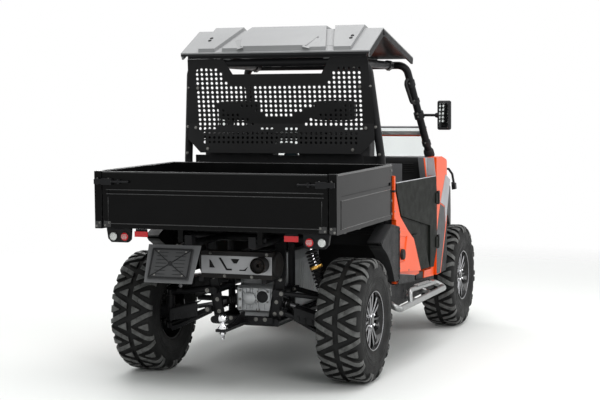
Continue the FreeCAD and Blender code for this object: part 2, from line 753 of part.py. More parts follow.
def make_chassis():
    rail = [long_drum((frame_rear_x, frame_front_x), rail_y, rail_z, rail_radius)]
    rail.append(long_drum((pivot_x, hoop_x), rail_y, tower_z, rail_radius))
    rail.append(long_drum((firewall_x + 12, frame_front_x), rail_y, tower_z, rail_radius))
    rail.append(long_drum((frame_rear_x, rear_upright_x), rail_y, upper_arm_z, rail_radius))
    rail.append(long_drum(front_upright_x, rail_y, upper_arm_z, rail_radius))
    for x in (rear_upright_x, *front_upright_x, frame_front_x):
        rail.append(upright_drum(x, rail_y, (rail_z, tower_z), rail_radius))
    rail.append(rear_leg())
    cradle_top = muffler_z - muffler_radius - seat_gap
    cradle_y = (rail_y - cradle_width / 2, rail_y + cradle_width / 2)
    rail.append(box((muffler_x - 44, leg_x + leg_thickness), cradle_y, (cradle_top - cradle_width, cradle_top)))
    lug_x, lug_y = (pivot_x - pivot_lug, pivot_x + pivot_lug), (rail_y - rail_radius, rail_y + rail_radius)
    rail.append(box(lug_x, lug_y, (tower_z - 10, pivot_z + 16)))
    beam_low, beam_high = bed_beam_y - bed_beam_width / 2, bed_beam_y + bed_beam_width / 2
    rail.append(cross_drum(pivot_x, (rail_y, beam_high + 8), pivot_z, pivot_radius))
    rest_top = bed_bottom_z - bed_beam_depth - seat_gap
    rail.append(box((bed_rest_x - 20, bed_rest_x + 20), (rail_y, beam_high), (tower_z, rest_top)))
    foot_y = (hoop_foot_y - outrigger_half, hoop_foot_y + outrigger_half)
    rail.append(box((hoop_x - 26, hoop_x + 26), foot_y, (tower_z, cab_foot_z)))
    pieces = [piece for one in rail for piece in pair(one)]
    # cross tube's x, z, half length
    cross_tubes = [
        (frame_rear_x + rail_radius, rail_z, rail_y),
        (rear_axle_x, rail_z, rail_y),
        (rear_axle_x + 242, rail_z, rail_y),
        (sill_tube_x[0], rail_z, tub_half + 40),
        (sill_tube_x[1], rail_z, tub_half + 40),
        (front_axle_x - 432, rail_z, rail_y),
        (front_axle_x - steer_arm, rail_z, rail_y),
        (front_axle_x, rail_z, rail_y),
        (frame_front_x, rail_z, rail_y),
        (frame_front_x, tower_z, rail_y),
        (hoop_x, tower_z, hoop_foot_y),
        (rear_axle_x + 232, tower_z, rail_y),
    ]
    for x, z, half in cross_tubes:
        pieces.append(cross_drum(x, (-half, half), z, cross_radius))
    for x in (rear_axle_x, front_axle_x):
        pieces.append(cross_drum(x, (-tower_half, tower_half), tower_z, rail_radius))
    save("chassis_frame", [joined(pieces)])

    top = rail_z - rail_radius - seat_gap
    line = [(frame_rear_x + 24, top), (frame_front_x + 30, top), (skid_nose_x, skid_nose_z)]
    skid = bent_sheet(line[::-1], skid_thickness, (-skid_half, skid_half))
    side_room = (rail_y - bar_radius - joint_gap, skid_half + 1)
    for corner in pair(box((frame_front_x, skid_nose_x + 1), side_room, (0, skid_nose_z + 1))):
        skid = skid.cut(corner)
    save("skid_plate", [skid])
    foot = cross_top_z + seat_gap
    save("engine", [box((engine_rear_x, engine_front_x), (-engine_half, engine_half), (foot, engine_top_z))])

    case = [
        box((case_rear_x, case_front_x), (case_right_y, case_left_y), (case_bottom_z, case_top_z)),
        box((rear_axle_x - 30, rear_axle_x + 30), (case_right_y + 20, case_left_y - 10), (foot, case_bottom_z)),
        long_drum((case_rear_x - 16, case_rear_x), case_cap_y, case_cap_z, case_cap_radius),
    ]
    case[0] = case[0].makeChamfer(12, case[0].Edges)
    rib_z = (case_bottom_z + 14, case_top_z - 14)
    for k in range(6):
        y = case_right_y + 22 + k * (case_left_y - case_right_y - 44) / 5
        case.append(box((case_rear_x - 7, case_rear_x + 1), (y - 3, y + 3), rib_z))
    front_x, front_half = (front_axle_x - 62, front_axle_x + 58), front_case_half - 12
    front = [
        box(front_x, (-front_case_half, front_case_half), (case_bottom_z - 16, case_top_z - 20)),
        box((front_axle_x - 30, front_axle_x + 30), (-front_half, front_half), (foot, case_bottom_z)),
    ]
    save("gear_cases", [joined(case), joined(front)])


def make_exhaust():
    can = cross_drum(muffler_x, (muffler_right_y, muffler_left_y), muffler_z, muffler_radius)
    can = can.makeFillet(14, [e for e in can.Edges if isinstance(e.Curve, Part.Circle)])
    rear = muffler_x - muffler_radius
    outlet = long_drum((rear - outlet_length, muffler_x), outlet_y, outlet_z, outlet_radius)
    outlet = outlet.cut(long_drum((rear - outlet_length, rear - 10), outlet_y, outlet_z, outlet_radius - 7))
    can = joined([can, outlet])
    face = (rear - seat_gap - shield_thickness, rear - seat_gap)
    width = (shield_right_y, shield_left_y)
    plate = box(face, width, (shield_bottom_z, shield_top_z))
    # corners of each cut-out, (y, z) from the plate's middle
    windows = [
        [(148, 25), (148, -17), (117, -17), (139, 20)],
        [(97, 35), (83, 35), (49, -19), (24, -19), (24, -28), (56, -28)],
        [(31, 31), (-18, 31), (-3, 8), (15, 8)],
        [(-16, -22), (-43, -22), (-66, -3), (-50, -28), (-16, -28)],
    ]
    middle_y, middle_z = (shield_left_y + shield_right_y) / 2, (shield_bottom_z + shield_top_z) / 2
    for window in windows:
        outline = [(middle_y + y, middle_z + z) for y, z in window]
        plate = plate.cut(rear_prism(outline, (face[0] - 1, face[1] + 1)))
    plate = plate.cut(long_drum((face[0] - 1, face[1] + 1), outlet_y, outlet_z, outlet_radius + 2))
    save("muffler_shield", [plate])
    straps = []
    for low in (shield_top_z + seat_gap, shield_bottom_z - seat_gap - strap_height):
        straps.append(box((face[0], muffler_x - 30), width, (low, low + strap_height)))
    span = (muffler_right_y - 9, muffler_left_y + 9)
    around = cross_drum(muffler_x, span, muffler_z, muffler_radius + seat_gap)
    pipe = long_drum((rear - outlet_length - 9, muffler_x), outlet_y, outlet_z, outlet_radius + seat_gap)
    cradle_room = (low - 200, muffler_z - muffler_radius)
    cradle = box((rear - outlet_length, leg_x), (-rail_y - 30, rail_y + 30), cradle_room)
    save("muffler", [can, *(s.cut(around).cut(pipe).cut(cradle) for s in straps)])


def make_hitch_and_plate():
    rear = frame_rear_x - seat_gap
    low, top = drawbar_top_z - drawbar_thickness, drawbar_top_z
    rib = [(rear, top), (rear, top + 46), (rear - 30, top + 46), (ball_x + 92, top)]
    pieces = [
        box((drawbar_end_x, rear), (-drawbar_half, drawbar_half), (low, top)),
        box((rear - 12, rear), (-leg_foot_y - 10, leg_foot_y + 10), (low, top + 20)),
        side_prism(rib, (-5, 5)),
        upright_drum(ball_x, 0, (ball_stem_bottom_z, ball_z), ball_stem_radius),
        upright_drum(ball_x, 0, (top, top + 7), ball_radius),
        upright_drum(ball_x, 0, (low - 14, low), 16),
        Part.makeCone(ball_radius - 3, 12, 14, V(ball_x, 0, top + 7)),
        ball((ball_x, 0, ball_z), ball_radius),
    ]
    save("tow_hitch", [joined(pieces)])

    back = (plate_right_y, plate_left_y)
    plate = bent_sheet([plate_bottom, plate_top], plate_thickness, back)
    sides = [
        (plate_right_y, plate_top[1] + 9), (plate_right_y + plate_taper, plate_bottom[1] - 9),
        (plate_left_y - plate_taper, plate_bottom[1] - 9), (plate_left_y, plate_top[1] + 9),
    ]
    plate = plate.common(rear_prism(sides, (plate_bottom[0] - 50, plate_top[0] + 50)))
    stay_y = (plate_right_y + 110, plate_right_y + 150)
    top_x, top_z = plate_top
    stay_z = tower_z - 12
    stay_end = pivot_x + 60
    stay = box((top_x - 6, stay_end), stay_y, (stay_z, stay_z + plate_thickness))
    arm_y = (rail_y + rail_radius + seat_gap, stay_y[1])
    arm_low = box((stay_end - 4, stay_end + 24), arm_y, (tower_z - 22, tower_z - 2))
    save("plate_bracket", [joined([plate, stay, arm_low])])
    along_plate = V(top_x - plate_bottom[0], 0, top_z - plate_bottom[1])
    length = along_plate.Length
    way = along_plate.normalize()
    out = V(-way.z, 0, way.x)
    origin = V(plate_bottom[0], 0, plate_bottom[1]) + out * (plate_thickness + seat_gap)
    low, high = origin + way * 18, origin + way * (length - 22)
    outline = [low, high, high + out * holder_thickness, low + out * holder_thickness]
    holder_y = (back[0] + holder_border, back[1] - holder_border)
    save("plate_holder", [side_prism([(p.x, p.z) for p in outline], holder_y)])


# Load bed and tailgate

def make_bed():
    half = bed_width / 2
    inside_half = half - bed_wall
    gate_front = bed_rear_x + tailgate_thickness
    floor_rear = gate_front + 10
    floor = box((floor_rear, bed_front_x), (-half, half), (bed_bottom_z, bed_bottom_z + bed_floor))
    front = box((bed_front_x - bed_wall, bed_front_x), (-half, half), (bed_bottom_z, bed_top_z))
    pieces = [floor, front]
    groove_span = (groove_z - groove_height / 2, groove_z + groove_height / 2)
    groove = box((bed_rear_x + post_width + 30, bed_front_x - 30), (half - groove_depth, half + 1), groove_span)
    side = box((bed_rear_x + 10, bed_front_x), (inside_half, half), (bed_bottom_z, bed_top_z)).cut(groove)
    post = box((bed_rear_x, bed_rear_x + post_width), (half - post_width, half), (bed_bottom_z, bed_top_z))
    pin_x, pin_z = bed_rear_x + tailgate_thickness / 2, bed_bottom_z + tailgate_lift + tailgate_thickness / 2
    pin = cross_drum(pin_x, (half - post_width - hinge_pin_length, half - post_width), pin_z, hinge_pin_radius)
    beam_y = (bed_beam_y - bed_beam_width / 2, bed_beam_y + bed_beam_width / 2)
    beam = box((pivot_x - pivot_lug, bed_rest_x + 30), beam_y, (bed_bottom_z - bed_beam_depth, bed_bottom_z))
    lug = box((pivot_x - pivot_lug, pivot_x + pivot_lug), beam_y, (pivot_z - pivot_lug, bed_bottom_z))
    lug = lug.cut(cross_drum(pivot_x, beam_y, pivot_z, pivot_radius + bore_gap))
    for piece in (side, post, pin, beam, lug):
        pieces += pair(piece)
    save("bed_tub", [joined(pieces)])

    gate_half = half - post_width - joint_gap
    gate = box((bed_rear_x, gate_front), (-gate_half, gate_half), (bed_bottom_z + tailgate_lift, bed_top_z))
    gate_groove = (-gate_half + 30, gate_half - 30)
    gate = gate.cut(box((bed_rear_x - 1, bed_rear_x + groove_depth), gate_groove, groove_span))
    bore_y = (gate_half - hinge_pin_length + joint_gap - 3, gate_half + 1)
    for bore in pair(cross_drum(pin_x, bore_y, pin_z, hinge_pin_radius + bore_gap)):
        gate = gate.cut(bore)
    save("tailgate", [gate])
    latch_z = bed_top_z - 50
    latch_x = bed_rear_x - latch_depth
    latch = joined([
        box((latch_x, bed_rear_x - seat_gap), (gate_half - 56, gate_half), (latch_z - 16, latch_z + 16)),
        box((latch_x, bed_rear_x - joint_gap), (gate_half - 4, half - 6), (latch_z - 12, latch_z + 12)),
        cross_drum(latch_x + 6, (gate_half - 150, gate_half - 50), latch_z, 5.0),
    ])
    save("tailgate_latches", pair(latch))

    ear_top = bed_bottom_z - seat_gap
    ear_outline = [
        (lamp_red_y - 34, ear_top), (lamp_red_y - 30, lamp_z - 16), (lamp_red_y - 14, lamp_z - 30),
        (lamp_white_y + 14, lamp_z - 30), (lamp_white_y + 32, lamp_z - 12), (lamp_white_y + 40, ear_top),
    ]
    ear = rear_prism(ear_outline, (lamp_x, lamp_x + ear_thickness))
    half_width = reflector_width / 2
    tab_y = (reflector_y - half_width + 4, reflector_y + half_width - 4)
    tab = box((lamp_x, lamp_x + 4), tab_y, (reflector_z - 12, ear_top))
    save("lamp_housings", pair(ear) + pair(tab))
    lens_x = (lamp_x - lamp_depth, lamp_x - seat_gap)
    save("clear_lamps", pair(long_drum(lens_x, lamp_white_y, lamp_z, lamp_radius)))
    reflector = box(
        (lamp_x - 8, lamp_x - seat_gap), (reflector_y - half_width, reflector_y + half_width),
        (reflector_z - reflector_height / 2, reflector_z + reflector_height / 2),
    )
    save("red_lamps", pair(long_drum(lens_x, lamp_red_y, lamp_z, lamp_radius)) + pair(reflector))


# Roll cage, roof, screens and mirrors

def hoop_point(z):
    """The x and y of the rear hoop's leaning part at a height."""
    share = (z - hoop_bend_z) / (cage_top_z - hoop_bend_z)
    return hoop_x + (hoop_top_x - hoop_x) * share, hoop_foot_y + (hoop_top_y - hoop_foot_y) * share


def pillar_point(z):
    """The x and y of the windscreen pillar at a height."""
    share = (z - cowl_top_z) / (pillar_top_z - cowl_top_z)
    x = pillar_foot_x + (pillar_top_x - pillar_foot_x) * share
    return x, pillar_foot_y + (pillar_top_y - pillar_foot_y) * share


def make_cage():
    foot = (hoop_x, hoop_foot_y, cab_foot_z + seat_gap)
    left = [foot, (hoop_x, hoop_foot_y, hoop_bend_z), (hoop_top_x, hoop_top_y, cage_top_z)]
    right = [(x, -y, z) for x, y, z in left[::-1]]
    rear = tube(left + right, cage_tube, cage_bend)
    bar_x, bar_y = hoop_point(belt_bar_z)
    belt = cross_drum(bar_x, (-bar_y, bar_y), belt_bar_z, belt_bar_radius)
    rear = joined([rear, belt])
    foot_z = cowl_top_z + seat_gap
    left = [(*pillar_point(foot_z - 40), foot_z - 40), (pillar_top_x, pillar_top_y, pillar_top_z)]
    right = [(x, -y, z) for x, y, z in left[::-1]]
    front = tube(left + right, cage_tube, cage_bend * 0.75)
    front = front.common(box((0, front_axle_x), (-body_half, body_half), (foot_z, cage_top_z + 100)))
    rail_rear = (hoop_top_x + cage_tube + 2 * seat_gap, side_rail_y, cage_top_z)
    rail = rod(rail_rear, (pillar_top_x - cage_tube - 2 * seat_gap, side_rail_y, pillar_top_z), cage_tube)
    save("roll_cage", [rear, front, *pair(rail)])


def roof_pad(outline, line, start, height):
    """A raised part of the roof: an (x, y) outline drawn up from the roof's line."""
    raised = bent_sheet(line, -height, (-roof_half, roof_half), -start)
    return raised.common(plan_prism(outline, (roof_front_z - 100, roof_crest_z + 100)))


def make_roof():
    line = [(roof_front_x, roof_front_z), (roof_crest_x, roof_crest_z), (roof_rear_x, roof_rear_z)]
    whole = (-roof_half, roof_half)
    pieces = [bent_sheet(line, roof_thickness, whole)]
    pieces += pair(bent_sheet(line, skirt_depth, (roof_half - roof_thickness, roof_half)))
    pieces.append(box((roof_rear_x, roof_rear_x + roof_thickness), whole, (roof_rear_z - 18, roof_rear_z)))
    rear_x, front_x = roof_rear_x + 6, roof_front_x - pad_end
    middle = [(rear_x, 300), (roof_crest_x, 220), (front_x, 300)]
    middle += [(x, -y) for x, y in middle[::-1]]
    side = [(rear_x, 345), (roof_crest_x, 270), (front_x, 345), (front_x, pad_outer_y), (rear_x, pad_outer_y)]
    pieces += [roof_pad(middle, line, -2, pad_height + 2), *pair(roof_pad(side, line, -2, pad_height + 2))]
    lip = [(rear_x, -190), (rear_x, 190), (rear_x + lip_length, 225), (rear_x + lip_length, -225)]
    pieces.append(roof_pad(lip, line, pad_height - 2, lip_height + 2))

    slope = (roof_crest_z - roof_rear_z) / (roof_crest_x - roof_rear_x)
    under = roof_rear_z + slope * (hoop_top_x - roof_rear_x) - roof_thickness / 2
    posts = [
        box((hoop_top_x - 14, hoop_top_x + 14), roof_foot_y, (cage_top_z + cage_tube - 6, under)),
        box((pillar_top_x - 30, pillar_top_x - 8), roof_foot_y, (pillar_top_z, roof_front_z - 4)),
    ]
    for post in posts:
        pieces += pair(post)
    roof = joined(pieces)
    for x, z in ((hoop_top_x, cage_top_z), (pillar_top_x, pillar_top_z)):
        roof = roof.cut(cross_drum(x, (-400, 400), z, cage_tube + seat_gap))
    save("roof", [roof])


def make_screens():
    lean = math.atan2(hoop_x - hoop_top_x, cage_top_z - hoop_bend_z)
    offset = (cage_tube + seat_gap) / math.cos(lean)
    bottom_x = hoop_point(screen_bend_z)[0] - offset
    top_x = hoop_point(screen_top_z)[0] - offset
    line = [(bottom_x - screen_kick, screen_bottom_z), (bottom_x, screen_bend_z), (top_x, screen_top_z)]
    screen = bent_sheet(line, screen_thickness, (-screen_half, screen_half))
    through = (hoop_top_x - 100, hoop_x + 50)
    low, high, outside = screen_bottom_z - 1, screen_top_z + 1, screen_half + 1
    corner = [(screen_half - screen_chamfer, low), (outside, low + screen_chamfer), (outside, low)]
    taper = [(outside, screen_bend_z - 58), (hoop_point(screen_top_z)[1] + 10, high), (outside, high)]
    window = [(-312, high), (-258, screen_window_z), (258, screen_window_z), (312, high)]
    for cut in (corner, [(-y, z) for y, z in corner], taper, [(-y, z) for y, z in taper], window):
        screen = screen.cut(rear_prism(cut, through))
    # the corners beside the window are pieces of their own, set on the sheet below them
    below = screen.common(box(through, (-outside, outside), (low, screen_window_z)))
    beside = screen.common(box(through, (-outside, outside), (screen_window_z + seat_gap, high)))
    save("rear_screen", [below, beside])

    foot_x, foot_z = pillar_foot_x, cowl_top_z
    lean = V(pillar_top_x - foot_x, 0, pillar_top_z - foot_z).normalize()
    out = V(lean.z, 0, -lean.x)
    base = V(foot_x, 0, foot_z) + out * (cage_tube + seat_gap)
    low = base + lean * ((foot_z + seat_gap - base.z) / lean.z + 4)
    high = base + lean * ((glass_top_z - base.z) / lean.z)
    outline = [(p.x, p.z) for p in (low, high, high + out * glass_thickness, low + out * glass_thickness)]
    save("windscreen", [side_prism(outline, (-glass_half, glass_half))])

    px, py = pillar_point(mirror_z)
    foot, top = (pillar_foot_x, pillar_foot_y, cowl_top_z), (pillar_top_x, pillar_top_y, pillar_top_z)
    pillar = rod(foot, top, cage_tube + seat_gap)
    rear, front = mirror_x - mirror_depth / 2, mirror_x + mirror_depth / 2
    clamp = rod((px + 1, py + cage_tube - 2, mirror_z), (front + 6, mirror_y, mirror_z), 8.0).cut(pillar)
    half_width, half_height = mirror_width / 2, mirror_height / 2
    frame_y = (mirror_y - half_width, mirror_y + half_width)
    frame_z = (mirror_z - half_height, mirror_z + half_height)
    frame = box((rear, front), frame_y, frame_z)
    frame = frame.makeFillet(12, frame.Edges)
    save("mirrors", pair(joined([clamp, frame])))
    glass_y = (frame_y[0] + mirror_border, frame_y[1] - mirror_border)
    glass_z = (frame_z[0] + mirror_border, frame_z[1] - mirror_border)
    save("mirror_glass", pair(box((rear - seat_gap - 2, rear - seat_gap), glass_y, glass_z)))
    top_z, low_z = pillar_top_z - 78, pillar_top_z - 230
    (ax, ay), (bx, by) = pillar_point(top_z), pillar_point(low_z)
    reach = [(ax, ay, top_z), (ax - 70, ay - 10, top_z - 14), (bx - 70, by - 10, low_z + 14), (bx, by, low_z)]
    handle = tube(reach, 9.0, 26).cut(pillar)
    save("grab_handle", [mirrored(max(handle.Solids, key=lambda s: s.Volume))])


# Cab

def make_cab():
    under_floor, under_seat, box_x = floor_z - tub_wall, seat_box_z - tub_wall, seat_box_x - tub_wall
    line = [
        (firewall_x, firewall_top_z), (firewall_x, under_floor), (box_x, under_floor), (box_x, under_seat),
        (bulkhead_x, under_seat), (bulkhead_x, bulkhead_top_z),
    ]
    save("cab_tub", [bent_sheet(line[::-1], tub_wall, (-tub_half, tub_half))])

    base = seat_box_z + seat_gap
    width = (seat_y - seat_width / 2, seat_y + seat_width / 2)
    back_x = bulkhead_x + tub_wall + seat_gap
    cushion = side_prism([
        (back_x, base), (cushion_front_x, base), (cushion_front_x + 10, base + cushion_height * 0.7),
        (cushion_front_x - 40, base + cushion_height), (back_x, base + cushion_height * 0.8),
    ], width)
    save("seat_cushions", pair(cushion))
    low = base + cushion_height + seat_gap
    back = side_prism([
        (back_x, low), (back_x + 140, low), (back_x + 96, seat_back_top_z - 40), (back_x + 60, seat_back_top_z),
        (back_x, seat_back_top_z),
    ], width)
    head_y, head_base = (seat_y - headrest_width / 2, seat_y + headrest_width / 2), seat_back_top_z + seat_gap
    head = box((back_x + 2, back_x + 74), head_y, (head_base + 14, headrest_top_z))
    head = head.makeFillet(14, head.Edges)
    stem = box((back_x + 30, back_x + 44), (seat_y - 50, seat_y + 50), (head_base, head_base + 40))
    save("seat_backs", pair(back) + pair(joined([head, stem])))

    front, top = firewall_x - tub_wall - seat_gap, firewall_top_z
    dash_front_x = pillar_foot_x - 44
    dash = side_prism([
        (dash_rear_x, dash_bottom_z), (dash_rear_x, top - 12), (dash_rear_x + 16, cowl_top_z),
        (dash_front_x, cowl_top_z), (dash_front_x, top), (front, top), (front, dash_bottom_z + 60),
        (dash_rear_x + 70, dash_bottom_z),
    ], (-tub_half, tub_half))
    save("dashboard", [dash])
    lid = box((dash_front_x + seat_gap, cowl_front_x), (-cowl_half, cowl_half), (top + seat_gap, cowl_top_z))
    ear_y = (hood_hinge_y + seat_gap, hood_hinge_y + 9)
    ear = box((cowl_front_x - 1, hood_hinge_x + 6), ear_y, (hood_hinge_z - 6, hood_hinge_z + 6))
    pin = cross_drum(hood_hinge_x, (hood_hinge_y - hood_barrel_length, ear_y[1]), hood_hinge_z, hood_pin)
    cheek_front_x = dash_front_x + 4
    cheek = side_prism([
        (cheek_rear_x, cowl_top_z + 6), (cheek_front_x, cowl_top_z),
        (cheek_front_x, cheek_bottom_z), (cheek_rear_x + 50, cheek_bottom_z),
    ], (tub_half + 24, cowl_half))
    save("cowl", [joined([lid, *pair(cheek), *pair(ear), *pair(pin)])])


# Doors, sills and side panels

# corners of the left door, seen from its side
door_outline = along_door([
    (0, 989), (0.982, 978), (1, 860), (1, 560), (0.911, 450), (0.552, 469), (0.372, 680), (0.107, 812),
    (0, 950),
])
# low and high z of the door's hinges
door_hinges = [(560, 620), (820, 880)]


def make_doors():
    door = side_prism(door_outline, (door_inner_y, body_half))
    recess = along_door([
        (0.112, 806), (0.377, 676), (0.492, 680), (0.673, 622), (0.803, 456), (0.824, 452), (0.824, 700),
        (0.709, 716),
    ])
    door = door.cut(side_prism(recess, (body_half - door_recess, body_half + 1)))
    axis = (door_hinge_x, body_half + 4.5)
    leaf_outer = body_half + 7
    fixed = []
    for low, high in door_hinges:
        leaf = box((door_hinge_x - door_leaf, door_hinge_x), (body_half - 1, leaf_outer), (low, high))
        door = door.fuse([upright_drum(*axis, (low, high), door_barrel), leaf])
        cap_low, cap_high = low - seat_gap - 8, high + seat_gap + 8
        seat = (fender_outer_y + seat_gap, leaf_outer)
        plates = [upright_drum(*axis, (cap_low, cap_high), door_pin)]
        for z in (cap_low, cap_high - 8):
            plates.append(upright_drum(*axis, (z, z + 8), door_barrel - 1))
            plates.append(box((door_hinge_x, door_hinge_x + 30), seat, (z, z + 8)))
        plates.append(box((door_hinge_x + 14, door_hinge_x + 34), seat, (cap_low, cap_high)))
        fixed += pair(joined(plates))
    for low, high in door_hinges:
        door = door.cut(upright_drum(*axis, (low - 1, high + 1), door_pin + bore_gap))
    for side, shape in zip(("left", "right"), pair(door.removeSplitter())):
        save(f"door_{side}", [shape])
    save("door_hinges", fixed)


def make_side_panels():
    sill = side_prism([
        (sill_rear_x, sill_top_z), (sill_front_x, sill_top_z - 60),
        (sill_front_x, sill_bottom_z), (sill_rear_x + 70, sill_bottom_z),
    ], (tub_half + seat_gap, sill_half))
    save("sills", pair(sill))

    base = sill_top_z + seat_gap
    strip = [(quarter_rear_x, base), (quarter_rear_x, 792)]
    strip += from_rear([(413, 800), (413, 1030), (435, 1030), (434, 948)])
    strip += along_door([(0.098, 806), (0.364, 674), (0.544, 460), (0.552, base)])
    bulge = [(quarter_rear_x, 512), (quarter_rear_x, 742)]
    bulge += along_door([(0.228, 715), (0.357, 662), (0.533, 466)])
    recess = from_rear([(462, 700), (602, 690), (552, 560), (462, 560)])
    bulge = side_prism(bulge, (body_half - 6, body_half + 12))
    panel = joined([side_prism(strip, (door_inner_y - 2, body_half - 4)), bulge])
    recess_y = (body_half + 12 - door_recess / 2, body_half + 13)
    save("quarter_panels", pair(panel.cut(side_prism(recess, recess_y))))
    cap_y = (recess_y[0] + seat_gap, body_half + 24)
    save("fuel_cap", [mirrored(cross_drum(quarter_rear_x + 66, cap_y, fuel_cap_z, fuel_cap_radius))])

    front = quarter_rear_x - seat_gap
    outline = from_rear([(362, 470), (112, 706), (292, 784)]) + [(front, 758), (front, 470)]
    inner = from_rear([(362, 478), (120, 698), (292, 776)]) + [(front - 8, 750), (front - 8, 478)]
    radius = tyre_radius + rear_arch_clearance
    inside, outside = hoop_foot_y + outrigger_half, body_half + 14
    arch = (inside - 30, outside + 30)
    guard = side_prism(outline, (inside + seat_gap, outside))
    guard = guard.cut(cross_drum(rear_axle_x, arch, tyre_radius, radius))
    hollow = side_prism(inner, (hoop_foot_y, outside - shell_wall))
    hollow = hollow.cut(cross_drum(rear_axle_x, arch, tyre_radius, radius + shell_wall))
    save("rear_mudguards", pair(guard.cut(hollow)))

    foot_y, bar_y = sill_half + seat_gap, body_half + 42
    lower = [
        (sill_rear_x + 40, foot_y, 350), (sill_rear_x - 10, bar_y, 324),
        (sill_front_x + 55, bar_y, 316), (sill_front_x - 10, foot_y, 350),
    ]
    upper = [
        (sill_rear_x + 228, bar_y, 324), (sill_rear_x + 250, bar_y - 10, 396),
        (sill_front_x - 170, bar_y - 10, 372), (sill_front_x - 90, foot_y, 366),
    ]
    parts = [tube(lower, bar_radius, 30), tube(upper, step_radius, 34)]
    parts += [rod((x, foot_y, 346), (x, bar_y, 324), 12.0) for x in (sill_rear_x + 350, sill_front_x - 280)]
    outboard = box((sill_rear_x - 100, sill_front_x + 160), (tub_half, foot_y), (200, 500))
    bars = joined(parts).cut(outboard)
    save("step_bars", pair(max(bars.Solids, key=lambda s: s.Volume)))


# Front body

def front_side(inset):
    """The left front corner of the body as a solid, made smaller all round by the inset."""
    outline = from_front([
        (-584 + inset, 392 + inset), (-584 + inset, 1088 - inset), (-462, 1088 - inset), (-360, 1066 - inset),
        (-172, 952 - inset), (68, 905 - inset), (300 - inset, 852 - inset), (330 - inset, 700),
        (330 - inset, 520 + inset), (168, 392 + inset),
    ])
    # outer plan line, from the door to the nose
    plan = from_front([
        (-584, fender_inner_y), (-584, fender_outer_y - inset), (-342, fender_outer_y - inset),
        (-212, flare_rear_y - inset), (330, flare_front_y - inset), (330, fender_inner_y),
    ])
    solid = side_prism(outline, (fender_inner_y - inset, body_half)).common(plan_prism(plan, (300, 1200)))
    arch = (fender_inner_y - 30, body_half + 30)
    return solid.cut(cross_drum(front_axle_x, arch, tyre_radius, tyre_radius + arch_clearance + inset))


def headlight_outline(grow):
    """The (y, z) corners of the left headlight, made larger all round."""
    inner, outer = fender_inner_y + 28 - grow, flare_front_y - 22 + grow
    return [(inner, 702 - grow), (inner, 798 + grow), (outer, 810 + grow), (outer, 732 - grow)]


def largest(shape):
    return max(shape.Solids, key=lambda s: s.Volume)


def make_fenders():
    cab_side = box((door_hinge_x - 60, cowl_front_x + seat_gap), (200, fender_rear_inner_y), (300, 1200))
    shell = front_side(0).cut(front_side(shell_wall).fuse(cab_side))
    seam = (fender_inner_y - 8, fender_inner_y + 8)
    mouth = box((cowl_front_x + 20, nose_x - 80), seam, (760, 1100))
    lamp_room = rear_prism(headlight_outline(seat_gap), (hood_front_x + 4, nose_x - 30))
    shock_room = box((front_axle_x - 56, front_axle_x + 56), (shock_top_y - 60, shock_top_y + 50), (600, 770))
    shell = largest(shell.cut(mouth).cut(lamp_room).cut(shock_room))

    # the flare takes all that lies ahead of this line and outside its inner y
    edge = from_front([(-495, 380), (-353, 672), (-266, 928), (-216, 1010)])
    ahead = [(nose_x, 1010), (nose_x, 380)]
    flare = shell.common(side_prism(edge + ahead, (flare_inner_y, body_half + 1)))
    room = side_prism([(x - seat_gap, z) for x, z in edge] + ahead, (flare_inner_y - seat_gap, body_half + 1))
    fender = largest(shell.cut(room))
    for panel in fender_panels:
        fender = fender.cut(side_prism(panel, (fender_outer_y - panel_depth, body_half)))
    save("front_fenders", pair(fender))
    save("front_flares", pair(largest(flare)))
    save("headlights", pair(rear_prism(headlight_outline(0), (nose_x - 104, nose_x - 52))))


# corners of the sunken panels in the fender's side, seen from the side
fender_panels = [
    from_front([(-375, 977), (-268, 938), (-376, 668), (-396, 785), (-499, 814)]),
    from_front([(-499, 808), (-398, 779), (-380, 660), (-504, 392), (-580, 396), (-580, 640), (-550, 706)]),
]


def make_hood_and_nose():
    line = [(hood_front_x, 884), (front_axle_x - 32, 986), (hood_rear_x, 1076)]
    half = fender_inner_y - joint_gap
    hood = bent_sheet(line[::-1], hood_thickness, (-half, half))
    barrel = (hood_hinge_y - hood_barrel_length, hood_hinge_y)
    slot_x, slot_z = (hood_rear_x - 9, hood_hinge_x + 16), (hood_hinge_z - 20, hood_hinge_z + 20)
    for slot in pair(box(slot_x, (hood_hinge_y, hood_hinge_y + 18), slot_z)):
        hood = hood.cut(slot)
    hood = hood.fuse(pair(cross_drum(hood_hinge_x, barrel, hood_hinge_z, hood_barrel)))
    bore_y = (barrel[0] - 1, barrel[1] + 1)
    for bore in pair(cross_drum(hood_hinge_x, bore_y, hood_hinge_z, hood_pin + bore_gap)):
        hood = hood.cut(bore)
    save("hood", [hood.removeSplitter()])

    nose_line = [
        (hood_front_x + joint_gap, 876), (nose_x - 40, 820), (nose_x, 640), (nose_x - 20, nose_bottom_z),
    ]
    outer = fender_inner_y - seat_gap
    through = (nose_x - 120, nose_x + 80)
    mouth = box(through, (-grille_half, grille_half), (grille_bottom_z, grille_top_z))
    nose = bent_sheet(nose_line, shell_wall, (-outer, outer)).cut(mouth)
    back_edge = [(nose_x - 80, nose_bottom_z), (nose_x - 80, 740), (nose_x - 120, 852)]
    cheek = side_prism(nose_line + back_edge, (outer - shell_wall, outer))
    save("nose", [joined([nose, *pair(cheek)])])
    border = (-grille_half - 14, grille_half + 14)
    grille = bent_sheet(nose_line, -grille_thickness, border, -seat_gap)
    grille = grille.common(box(through, border, (grille_bottom_z - 14, grille_top_z + 14)))
    for k in range(grille_rows):
        low = grille_bottom_z + 2 + k * grille_pitch
        for gap in pair(box(through, (5, grille_half - 4), (low, low + grille_opening))):
            grille = grille.cut(gap)
    save("grille", [grille])


